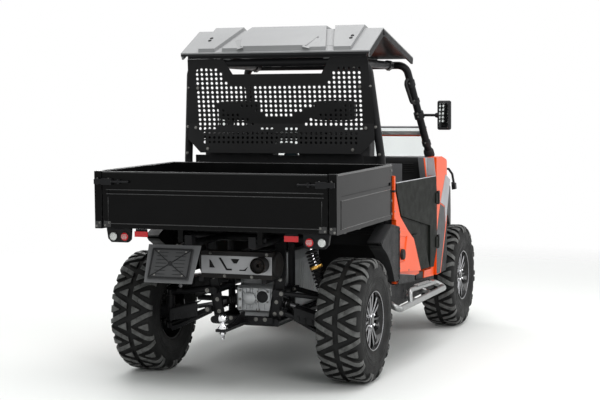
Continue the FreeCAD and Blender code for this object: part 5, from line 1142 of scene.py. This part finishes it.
# Windscreen
# A half-height sheet of clear polycarbonate along the front pillars, with a bright lip folded over its top edge,
# and a pale band with an orange line below it.
clear_sheet = surface("clear_sheet", (0.90, 0.94, 0.93), (0.02, 0.05), mottle=0.02, grain=200, bump=0.01, clear=0.96)
white_trim = surface("white_trim", 0.72, (0.3, 0.45), mottle=0.05, grain=900, bump=0.08)
dress("windscreen", clear_sheet, 0.0008)
glass_low, glass_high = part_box("windscreen")
lean = (pillar_head - pillar_foot) * Vector((1, 0, 1))
lean.normalize()
glass_out = Vector((lean.z, 0, -lean.x))
glass_top = Vector((glass_low.x, 0, glass_high.z))
glass_thick = 0.005
glass_trim = Form()
# distance below the top edge, height, how proud of the glass, distance in from the end
for finish, (drop, height, proud, end) in enumerate((
        (-0.002, 0.010, 0.0015, 0.002), (0.030, 0.024, 0.0006, 0.030), (0.055, 0.010, 0.0006, 0.030))):
    foot, face = drop + height, glass_thick + proud
    section = ((drop, -proud), (foot, -proud), (foot, face), (drop, face))
    corners = [glass_top - lean * down + glass_out * forward for down, forward in section]
    glass_trim.loft([[p + Vector((0, side * (glass_high.y - end), 0)) for p in corners] for side in sides], finish)
piece("windscreen_trim", glass_trim, [silver_paint, white_trim, body_orange], bevel=0.0004)


# Mirrors and grab handle
# Black moulded mirror cases on ball-jointed stalks, each clamped to a pillar, with a thin glass in a raised rim.
# A bent bar on the right pillar gives the passenger a hold.
mirror_face = surface("mirror_face", (0.72, 0.76, 0.74), (0.02, 0.05), mottle=0.03, grain=150, bump=0.005, metal=1.0)
dress("mirrors", moulded_black, 0.002)
dress("mirror_glass", mirror_face, 0.0006)
dress("grab_handle", soft_black)
mirror_middle = Vector((0.352, 0.700, 1.335))
bend_y, bend_z = 0.45, 0.27             # how square the rim's corners are: 1 is an ellipse
mirror_parts = Form()


def squared(value, bend):
    return math.copysign(abs(value) ** bend, value)


for side in sides:
    flip = Vector((1, side, 1))
    middle = mirror_middle * flip
    loops = []
    for half_y, half_z, x in ((0.03, 0.076, -0.0205), (0.0285, 0.0745, -0.0225), (0.0262, 0.0722, -0.0205),
                              (0.0262, 0.0722, -0.018), (0.03, 0.076, -0.018)):
        turns = [2 * math.pi * k / 32 for k in range(32)]
        loops.append([middle + Vector((x, squared(math.cos(t), bend_y) * half_y,
                                       squared(math.sin(t), bend_z) * half_z)) for t in turns])
    mirror_parts.loft(loops, 0, ring=True)
    ball = [(0, -0.016), (0.012, -0.012), (0.016, 0), (0.012, 0.012), (0, 0.016)]
    mirror_parts.turn(ball, middle + Vector((0.006, -side * 0.044, 0)), (0, 1, 0), 20)
    share = (mirror_middle.z - pillar_foot.z) / (pillar_head.z - pillar_foot.z)
    clamp = pillar_foot.lerp(pillar_head, share) * flip
    way = ((pillar_head - pillar_foot) * flip).normalized()
    mirror_parts.turn([(0.0224, -0.019), (0.03, -0.019), (0.03, 0.019), (0.0224, 0.019)], clamp, way, 28, ring=True)
    places = [clamp + way * level + Vector((-0.0295, 0, 0)) for level in (-0.01, 0.01)]
    mirror_parts.bolts(places, (-1, 0, 0), 0.005, 1)
piece("mirror_parts", mirror_parts, [moulded_black, zinc], bevel=0.0006)


# Doors
# Half-height moulded doors in very dark green grey, scooped out below for the knee, with a pale strip clipped
# along the top edge. Each hangs on two black steel hinges at its front and closes on a latch at its rear.
door_green = surface("door_green", (0.0125, 0.0138, 0.0122), (0.42, 0.55), mottle=0.05, grain=1500, bump=0.2,
                     shine=0.03)
for name in ("door_left", "door_right"):
    dress(name, door_green, 0.003, 25.0)
dress("door_hinges", frame_paint, 0.0008)
door_rear, door_front, door_out = -0.489, 0.342, 0.658
for name, side in (("left", 1), ("right", -1)):
    door_parts = Form()
    edge_y, liner_y, latch_y = side * (door_out - 0.006), side * (door_out - 0.028), side * (door_out - 0.036)
    door_parts.tube([(door_rear + 0.004, edge_y, 0.987), (door_front - 0.02, edge_y, 0.976)], 0.0058)
    door_parts.block((door_rear + 0.02, door_rear + 0.075), (liner_y, latch_y), (0.9, 0.935), 1)
    door_parts.tube([(door_rear + 0.05, latch_y, 0.918), (door_rear + 0.05, side * (door_out - 0.048), 0.918),
                     (door_rear + 0.12, side * (door_out - 0.05), 0.918)], 0.005, 10, 1)
    screws = [(x, liner_y, z) for x, z in ((-0.02, 0.905), (0.18, 0.895), (0.18, 0.7))]
    door_parts.clips(screws, (0, -side, 0), (0.006, 0.002, 0.003, 0.003, 0), finish=2)
    piece(f"door_parts_{name}", door_parts, [pale_grey, frame_paint, zinc], f"door_{name}", bevel=0.001)


# Sills and panels under the doors
# Moulded black boxes along the cab's foot, with pale metal strips along the top and along a joint cover's edge as
# painted highlight, and a short orange panel that closes the corner under the front of each door. Pushed-in clips hold
# them to the frame.
# Pale metal: a painted highlight along the sills' top edges.
sill_highlight_strip = surface("sill_highlight_strip", (0.30, 0.30, 0.31), (0.35, 0.5), mottle=0.15, grain=900, bump=0.3, metal=0.6)
dress("sills", moulded_black, 0.004)
sill_parts = Form()
# (x, z) outline, y from and to, finish: orange corner, black corner, painted highlight strip on top, cover over the
# joint, painted highlight along its edge
sill_panels = (
    ([(0.118, 0.402), (0.338, 0.388), (0.338, 0.515), (0.276, 0.438), (0.13, 0.442)], 0.606, 0.6395, 0),
    ([(-0.04, 0.4115), (0.112, 0.402), (0.112, 0.441), (-0.018, 0.45)], 0.606, 0.636, 1),
    ([(-0.59, 0.4462), (-0.18, 0.42), (-0.18, 0.4215), (-0.59, 0.4477)], 0.6425, 0.6, 2),
    ([(-0.5, 0.447), (-0.19, 0.425), (-0.19, 0.459), (-0.5, 0.504)], 0.668, 0.6725, 1),
    ([(-0.5, 0.503), (-0.19, 0.458), (-0.19, 0.46), (-0.5, 0.505)], 0.667, 0.6732, 2),
)
sill_clips = ((-0.54, 0.4), (-0.3, 0.385), (-0.06, 0.368), (0.18, 0.355), (0.31, 0.345))
for side in sides:
    for outline, near, far, finish in sill_panels:
        sill_parts.prism(outline, 1, (side * near, side * far), finish)
    places = [(x, side * 0.64, z) for x, z in sill_clips]
    sill_parts.clips(places, (0, side, 0), (0.009, 0.0015, 0.004, 0.003), 20, 1)
piece("sill_parts", sill_parts, [body_orange, moulded_black, sill_highlight_strip], bevel=0.0012)


# Quarter panels and fuel cap
# Orange moulded panels behind the doors, their lower part standing out, each with a black band across its narrow
# neck. The right one carries the fuel cap, a black knob with finger ribs in a recess.
dress("quarter_panels", body_orange, 0.003, 25.0)
small_clip = (0.006, 0.0012, 0.003, 0.0024)
panel_parts = Form()
for side in sides:
    panel_parts.prism([(-0.5195, 0.942), (-0.4965, 0.942), (-0.4965, 0.954), (-0.5195, 0.954)], 1,
                      (side * 0.64, side * 0.6552))
    for x, z, out in ((-0.3, 0.5, 0.67), (-0.47, 0.53, 0.67), (-0.47, 0.726, 0.67), (-0.51, 0.84, 0.654)):
        panel_parts.clips([(x, side * out, z)], (0, side, 0), small_clip, 16, 1)
piece("panel_parts", panel_parts, [moulded_black, zinc], bevel=0.0008)
fuel_cap = Form()
cap_x, cap_y, cap_z = -0.420, -0.6645, 0.600
finger_ribs = 10
fuel_cap.turn([(0.0295, 0), (0.0295, 0.013), (0.027, 0.016), (0, 0.0165)], (cap_x, cap_y, cap_z), (0, -1, 0), 80,
              wave=lambda t: 1.0 - 0.06 * (math.cos(finger_ribs * t) > 0.5))
grip = [(-0.0085, -0.026), (0.0085, -0.026), (0.006, 0.026), (-0.006, 0.026)]
fuel_cap.prism([(cap_x + x, cap_z + z) for x, z in grip], 1, (cap_y - 0.0172, cap_y - 0.012))
piece("fuel_cap_knob", fuel_cap, [moulded_black], bevel=0.0008, stands_for=["fuel_cap"])


# Rear mudguards
# Moulded black guards over the front half of each rear wheel, open towards it, with a stiffening edge round
# their outer side and clips to the quarter panels.
dress("rear_mudguards", moulded_black, 0.003)
guard_edge = ((-0.808, 0.702), (-0.640, 0.776), (-0.492, 0.752), (-0.492, 0.476))
guard_parts = Form()
for side in sides:
    for line in (guard_edge[:3], guard_edge[2:]):
        guard_parts.tube([(x, side * 0.6735, z) for x, z in line], 0.003, 8)
    guard_parts.clips([(-0.505, side * 0.672, z) for z in (0.735, 0.61, 0.495)], (0, side, 0),
                      (0.008, 0.0015, 0.004, 0.0025), 20)
piece("mudguard_parts", guard_parts, [moulded_black])


# Step bars
# Bent steel tube under each door in silver satin paint, bolted to the sill, with a strip of anti-slip teeth
# welded along the upper bar.
step_silver = surface("step_silver", (0.28, 0.285, 0.285), (0.26, 0.38), mottle=0.08, grain=900, bump=0.1, metal=0.75,
                      wear_and_highlight=0.2)
dress("step_bars", step_silver, 0.0008)
tread_start, tread_end = Vector((-0.230, 0.690, 0.4070)), Vector((0.070, 0.690, 0.3925))
tooth = [(0.004, -0.001), (0.0026, 0.0045), (0.0016, 0.0045)]
teeth = 16
step_parts = Form()
for side in sides:
    flip = Vector((1, side, 1))
    start, end = tread_start * flip, tread_end * flip
    step_parts.prism([(start.x, start.z - 0.0035), (end.x, end.z - 0.0035), (end.x, end.z), (start.x, start.z)], 1,
                     (start.y - 0.013, start.y + 0.013))
    for k, y in product(range(teeth), (-0.0095, 0.0095)):
        step_parts.turn(tooth, start.lerp(end, (k + 0.5) / teeth) + Vector((0, y, 0)), (0, 0, 1), 8)
    step_parts.bolts([(x, side * 0.6405, 0.372) for x in (-0.25, 0.06)], (0, side, 0), 0.007, 1)
piece("step_parts", step_parts, [step_silver, zinc], bevel=0.0006)


# Front fenders and flares
# Orange moulded fenders with a pale grey insert and a dark grey strip let into their sides, and black flares
# screwed on round the wheel arches.
dress("front_fenders", body_orange, 0.003, 25.0)
dress("front_flares", moulded_black, 0.003, 25.0)
strip_grey = surface("strip_grey", (0.082, 0.082, 0.086), (0.42, 0.55), mottle=0.05, grain=1500, bump=0.2)
insert = ((0.557, 0.977), (0.664, 0.938), (0.556, 0.668), (0.536, 0.785), (0.433, 0.814))
strip = ((0.433, 0.808), (0.534, 0.779), (0.552, 0.660), (0.428, 0.392), (0.352, 0.396), (0.352, 0.640),
         (0.382, 0.706))
fender_parts = Form()
for side in sides:
    fender_parts.prism(let_in(insert, 0.0025), 1, (side * 0.6518, side * 0.6562), 0)
    fender_parts.prism(let_in(strip, 0.0015), 1, (side * 0.6518, side * 0.655), 1)
    screws = [(x, side * 0.6548, z) for x, z in ((0.372, 0.43), (0.366, 0.63))]
    fender_parts.clips(screws, (0, side, 0), small_clip, 16, 2)
piece("fender_parts", fender_parts, [pale_grey, strip_grey, zinc], bevel=0.0014)


# Front indicators
# A small black lamp on each front fender, on a bent stalk of black steel that is screwed to the top of the flare.
indicator_x = 0.900
stalk = ((0.540, 0.9650), (0.556, 0.9880), (0.585, 0.9880), (0.608, 0.9560), (0.618, 0.9000))
indicator = ((0.606, 0.906), (0.630, 0.900), (0.633, 0.862), (0.610, 0.858))
indicators = Form()
for side in sides:
    indicators.tube([(indicator_x, side * y, z) for y, z in stalk], 0.0075)
    indicators.prism([(side * y, z) for y, z in indicator], 0, (indicator_x - 0.019, indicator_x + 0.019))
    indicators.clips([(indicator_x, side * 0.54, 0.964)], (0, 0, 1), (0.012, 0.004, 0.0075, 0.007, 0))
piece("indicators", indicators, [frame_paint], bevel=0.003)


# Hood, nose and grille
# An orange moulded lid hinged at the windscreen, a black moulded nose with a slotted grille in its mouth, and two
# rubber straps that hold the lid shut.
dress("hood", body_orange, 0.002, 20.0)
dress("nose", moulded_black, 0.004, 25.0)
dress("grille", moulded_black, 0.001)
hood_front, hood_bend = Vector((1.176, 0, 0.884)), Vector((0.900, 0, 0.986))
hood_way = (hood_bend - hood_front).normalized()
hood_out = Vector((hood_way.z, 0, -hood_way.x))
# the side edges that are turned down, as (x, z)
under_edge = [(1.15, 0.8895), (0.9, 0.982), (0.64, 1.0555), (0.64, 1.026), (0.9, 0.932), (1.15, 0.86)]


def on_hood(along, y, stand):
    return hood_front + hood_way * along + hood_out * stand + Vector((0, y, 0))


hood_parts = Form()
for side in sides:
    for y_in, y_out in ((side * 0.095, side * 0.115), (side * 0.225, side * 0.245)):
        hood_parts.loft([[on_hood(along, y_in, -0.002), on_hood(along, y_in, stand), on_hood(along, y_out, stand),
                          on_hood(along, y_out, -0.002)]
                         for along, stand in ((0.030, 0), (0.045, 0.006), (0.235, 0.006), (0.255, 0))])
    hood_parts.prism(under_edge, 1, (side * 0.3185, side * 0.3232))
    strap = [on_hood(0.04, side * 0.29, 0.004), on_hood(0.004, side * 0.29, 0.004)]
    hood_parts.tube(strap, 0.007, 10, 1)
    hood_parts.clips(strap[:1], hood_out, (0.011, 0.006, 0.007, 0.009, 0), 20, 1)
piece("hood_parts", hood_parts, [body_orange, rubber], "hood", bevel=0.001)
nose_parts = Form()
for y in (-0.16, -0.08, 0, 0.08, 0.16):
    nose_parts.tube([(1.2965, y, 0.545), (1.3035, y, 0.64), (1.28, y, 0.725)], 0.0022, 6)
for x, z in ((1.296, 0.56), (1.299, 0.6), (1.3015, 0.64), (1.2925, 0.68), (1.283, 0.715)):
    nose_parts.tube([(x, -0.2, z), (x, 0.2, z)], 0.0018, 6)
nose_screws = [(x, side * 0.27, z) for side in sides for x, z in ((1.3075, 0.5), (1.2905, 0.755))]
nose_parts.clips(nose_screws, (1, 0, 0), (0.008, 0.002, 0.004, 0.0035, -0.002), 20, 1)
piece("nose_parts", nose_parts, [bare_steel, moulded_black])


# Headlights
# Two chromed bowls in a black box at each front corner, each with its lamp, behind one clear moulded cover.
lamp_clear = surface("lamp_clear", (0.92, 0.94, 0.94), (0.02, 0.06), mottle=0.02, grain=150, bump=0.02, clear=0.97)
light_outer = ((0.358, 0.702), (0.358, 0.798), (0.484, 0.810), (0.484, 0.732))
light_inner = ((0.364, 0.711), (0.364, 0.792), (0.478, 0.803), (0.478, 0.738))
light_back, light_front = 1.216, 1.268
for name, side in (("left", 1), ("right", -1)):
    light_box, cover = Form(), Form()
    outer, inner = ([(side * y, z) for y, z in outline] for outline in (light_outer, light_inner))
    for form, rows in ((light_box, ((light_back, outer), (light_front - 0.004, outer), (light_front - 0.004, inner),
                                    (light_back + 0.012, inner))),
                       (cover, ((light_front - 0.0035, outer), (light_front - 0.0015, outer), (light_front, inner)))):
        form.loft([[(x, y, z) for y, z in outline] for x, outline in rows])
    for y, z, radius in ((0.396, 0.752, 0.029), (0.449, 0.770, 0.025)):
        place = (light_back + 0.012, side * y, z)
        bowl = [(0.006, 0.0015), (radius * 0.55, 0.006), (radius * 0.85, 0.017), (radius, 0.03),
                (radius + 0.0015, 0.03), (radius + 0.0015, 0.001)]
        light_box.turn(bowl, place, (1, 0, 0), 36, 1)
        light_box.turn([(0.0055, 0), (0.0055, 0.012), (0, 0.016)], place, (1, 0, 0), 16, 2)
    piece(f"headlight_{name}_box", light_box, [moulded_black, chrome, white_trim], bevel=0.0008,
          stands_for=["headlights"] if side > 0 else [])
    piece(f"headlight_{name}_cover", cover, [lamp_clear], bevel=0.0008)


# Bull bar
# Bent black steel tube in front of the nose, bolted to the ends of the frame through welded plates.
dress("bull_bar", frame_paint, 0.001)
bar_bolts = Form()
for side in sides:
    bar_bolts.turn([(0.03, 0), (0.03, 0.006), (0.018, 0.006)], (1.1705, side * 0.172, 0.3), (1, 0, 0), 32, 1)
    places = [(1.1765, side * 0.172 + y, 0.3 + z) for y, z in ((0.02, 0.012), (-0.02, -0.012))]
    bar_bolts.bolts(places, (1, 0, 0), 0.006)
piece("bar_bolts", bar_bolts, [zinc, frame_paint])


# Load bed
# A steel tub in gloss black, its sides pressed with a groove and an outline and rolled over at the top, with
# ribs along the floor and channels below it. It tips back on two pins under its rear edge. The pressed beads, rolled
# rims, floor ribs and plates added to the tub are a brighter, shinier black as painted highlight, and the tub's edges
# lighter, partly wear and partly painted highlight.
# Its lighter edges are partly wear and partly a painted highlight along the pressed lines.
gloss_black = surface("gloss_black", (0.0040, 0.0040, 0.0041), (0.15, 0.24), mottle=0.1, grain=260, bump=0.02,
                      shine=0.07, wear_and_highlight=0.05)
# A brighter, shinier black: painted highlight on the beads, rims, ribs and plates.
highlight_black = surface("highlight_black", (0.022, 0.022, 0.0225), (0.14, 0.22), mottle=0.1, grain=260, bump=0.02,
                     shine=0.4, wear_and_highlight=0.09)
dress("bed_tub", gloss_black, 0.002)
bed_rear, bed_front, bed_half, bed_top = -1.437, -0.527, 0.645, 1.091
floor_top = 0.827
bead = 0.0026
rim_roll = 0.0062
bed_parts = Form()
for side in sides:
    wall, rim_y = side * bed_half, side * (bed_half - 0.0045)
    bed_parts.tube([(x, rim_y, bed_top - 0.003) for x in (bed_rear + 0.012, bed_front - 0.004)], rim_roll)
    rear_x, front_x, low_z, high_z = bed_rear + 0.062, bed_front - 0.028, 0.826, 0.962
    bed_parts.tube([(rear_x, wall, low_z), (rear_x, wall, high_z), (front_x, wall, high_z), (front_x, wall, low_z)],
                   bead, 8, ring=True)
    bed_parts.block((bed_rear + 0.001, bed_rear + 0.041), (side * (bed_half - 0.041), side * (bed_half - 0.001)),
                    (bed_top - 0.001, bed_top + 0.0025))
    bed_parts.clips([(bed_front - 0.012, wall, z) for z in (0.83, 0.9, 1.06)], (0, side, 0),
                    (0.007, 0.0015, 0.004, 0.0025), 16, 1)
    # plates of the tailgate's lower hinges, on the corner posts
    bed_parts.block((bed_rear - 0.0028, bed_rear), (side * 0.609, side * 0.642), (0.808, 0.84))
    places = [(bed_rear - 0.0026, side * y, z) for y, z in ((0.617, 0.832), (0.634, 0.816))]
    bed_parts.bolts(places, (-1, 0, 0), 0.004, 1)
bed_parts.tube([(bed_front - 0.0045, side * (bed_half - 0.004), bed_top - 0.003) for side in sides], rim_roll)
for k in range(9):
    y = (k - 4) * 0.138
    section = [(y - 0.034, floor_top - 0.001), (y - 0.026, floor_top + 0.005), (y + 0.026, floor_top + 0.005),
               (y + 0.034, floor_top - 0.001)]
    bed_parts.prism(section, 0, (bed_rear + 0.06, bed_front - 0.032))
for x in (-1.18, -0.95, -0.73):
    bed_parts.block((x - 0.02, x + 0.02), (-0.6, 0.6), (0.786, 0.8035))
piece("bed_parts", bed_parts, [highlight_black, zinc], "bed", bevel=0.0008)


# Tailgate and its latches
# The bed's rear wall, pressed from the same sheet: a groove, and an outline round the panel below it. Cast black
# latches at its upper corners lock into the posts, each with a thin steel rod to pull.
dress("tailgate", gloss_black, 0.002)
dress("tailgate_latches", frame_paint, 0.002)
gate_half = 0.599
gate_parts = Form()
beads = [[(-0.569, 0.964), (-0.569, 0.83), (0.569, 0.83), (0.569, 0.964)]]
beads += [[(side * (gate_half - 0.02), z) for side in sides] for z in (0.9795, 1.0005)]
for line in beads:
    gate_parts.tube([(bed_rear + 0.0005, y, z) for y, z in line], bead, 8)
gate_parts.tube([(bed_rear + 0.005, side * (gate_half - 0.003), bed_top - 0.004) for side in sides], 0.0056)
for side in sides:
    gate_parts.block((bed_rear - 0.0026, bed_rear + 0.001), (side * 0.555, side * 0.594), (0.812, 0.842))
    places = [(bed_rear - 0.0024, side * y, z) for y, z in ((0.563, 0.834), (0.586, 0.82))]
    gate_parts.bolts(places, (-1, 0, 0), 0.004, 1)
    gate_parts.turn([(0.0062, 0), (0.0062, 0.01)], (-1.447, side * 0.449, 1.041), (0, side, 0), 12, 2)
    gate_parts.block((-1.4535, -1.4365), (side * 0.5, side * 0.51), (1.03, 1.052), 2)
    for y in (0.560, 0.622):
        gate_parts.turn([(0.0075, 0), (0.0075, 0.03), (0.006, 0.032)], (-1.4465, side * y, 1.026), (0, 0, 1), 14, 2)
        gate_parts.turn([(0.0042, 0), (0.0042, 0.0025)], (-1.4465, side * y, 1.0575), (0, 0, 1), 6, 1)
# The beads, the rolled rim and the hinge plates take the brighter black of painted highlight.
piece("tailgate_parts", gate_parts, [highlight_black, zinc, frame_paint], "tailgate", bevel=0.0006)


# Rear lamps
# A red and a white lamp on each of the bed's ears, under moulded lenses with round ribs in black rims, and a
# flat red reflector of small pyramids beside them, held on a tab.
dress("lamp_housings", frame_paint, 0.002)
red_lens = surface("red_lens", (0.62, 0.012, 0.018), (0.08, 0.18), mottle=0.05, grain=700, bump=0.1, coat=0.6)
white_lens = surface("white_lens", (0.62, 0.63, 0.62), (0.08, 0.2), mottle=0.06, grain=700, bump=0.1, coat=0.5,
                     metal=0.25)
lens_foot_x, lamp_z = -1.4042, 0.762
lens_radius, lens_height = 0.0205, 0.0112
prism_pitch_y, prism_pitch_z = 0.0086, 0.0084
red_y, white_y, reflector_y = 0.495, 0.558, 0.402
rim_profile = [(0.0208, -0.001), (0.0245, -0.001), (0.0245, 0.005), (0.0228, 0.0072), (0.0208, 0.006)]


def lens_profile(radius, height, ribs):
    """A shallow dome with round ribs, as (radius, height) from its rim to its middle."""
    profile = [(radius, 0), (radius, height * 0.45)]
    for k in range(ribs):
        reach = 1.0 - (k + 0.5) / ribs
        level = height * (0.52 + 0.42 * (1.0 - reach * reach))
        profile += [(radius * (reach + 0.30 / ribs), level), (radius * (reach + 0.05 / ribs), level + height * 0.06),
                    (radius * (reach - 0.20 / ribs), level)]
    return profile + [(0, height)]


red_lamps, white_lamps, rims = Form(), Form(), Form()
for side in sides:
    for form, y, ribs in ((red_lamps, red_y, 4), (white_lamps, white_y, 3)):
        place = (lens_foot_x, side * y, lamp_z)
        form.turn(lens_profile(lens_radius, lens_height, ribs), place, (-1, 0, 0), 40)
        rims.turn(rim_profile, place, (-1, 0, 0), 40, ring=True)
    for row, column in product(range(3), range(8)):
        y, z = side * reflector_y + (column - 3.5) * prism_pitch_y, 0.777 + (row - 1) * prism_pitch_z
        base = [(y + a * prism_pitch_y / 2, z + b * prism_pitch_z / 2) for a, b in ((-1, -1), (1, -1), (1, 1), (-1, 1))]
        red_lamps.loft([[(lens_foot_x - 0.006, a, b) for a, b in base],
                        [(lens_foot_x - 0.0072, y + (a - y) * 0.15, z + (b - z) * 0.15) for a, b in base]])
    for z in (-0.0095, -0.0032, 0.0032, 0.0095):
        wide = math.sqrt(0.0155 ** 2 - z * z)
        red_lamps.block((lens_foot_x - 0.0118, lens_foot_x - 0.004), (side * red_y - wide, side * red_y + wide),
                        (lamp_z + z - 0.0011, lamp_z + z + 0.0011), 1)
    red_lamps.block((lens_foot_x - 0.0062, lens_foot_x), (side * reflector_y - 0.036, side * reflector_y + 0.036),
                    (0.763, 0.791))
piece("red_lenses", red_lamps, [red_lens, white_lens], "bed", bevel=0.0003, stands_for=["red_lamps"])
piece("white_lenses", white_lamps, [white_lens], "bed", stands_for=["clear_lamps"])
piece("lamp_rims", rims, [moulded_black], "bed")


low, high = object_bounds()
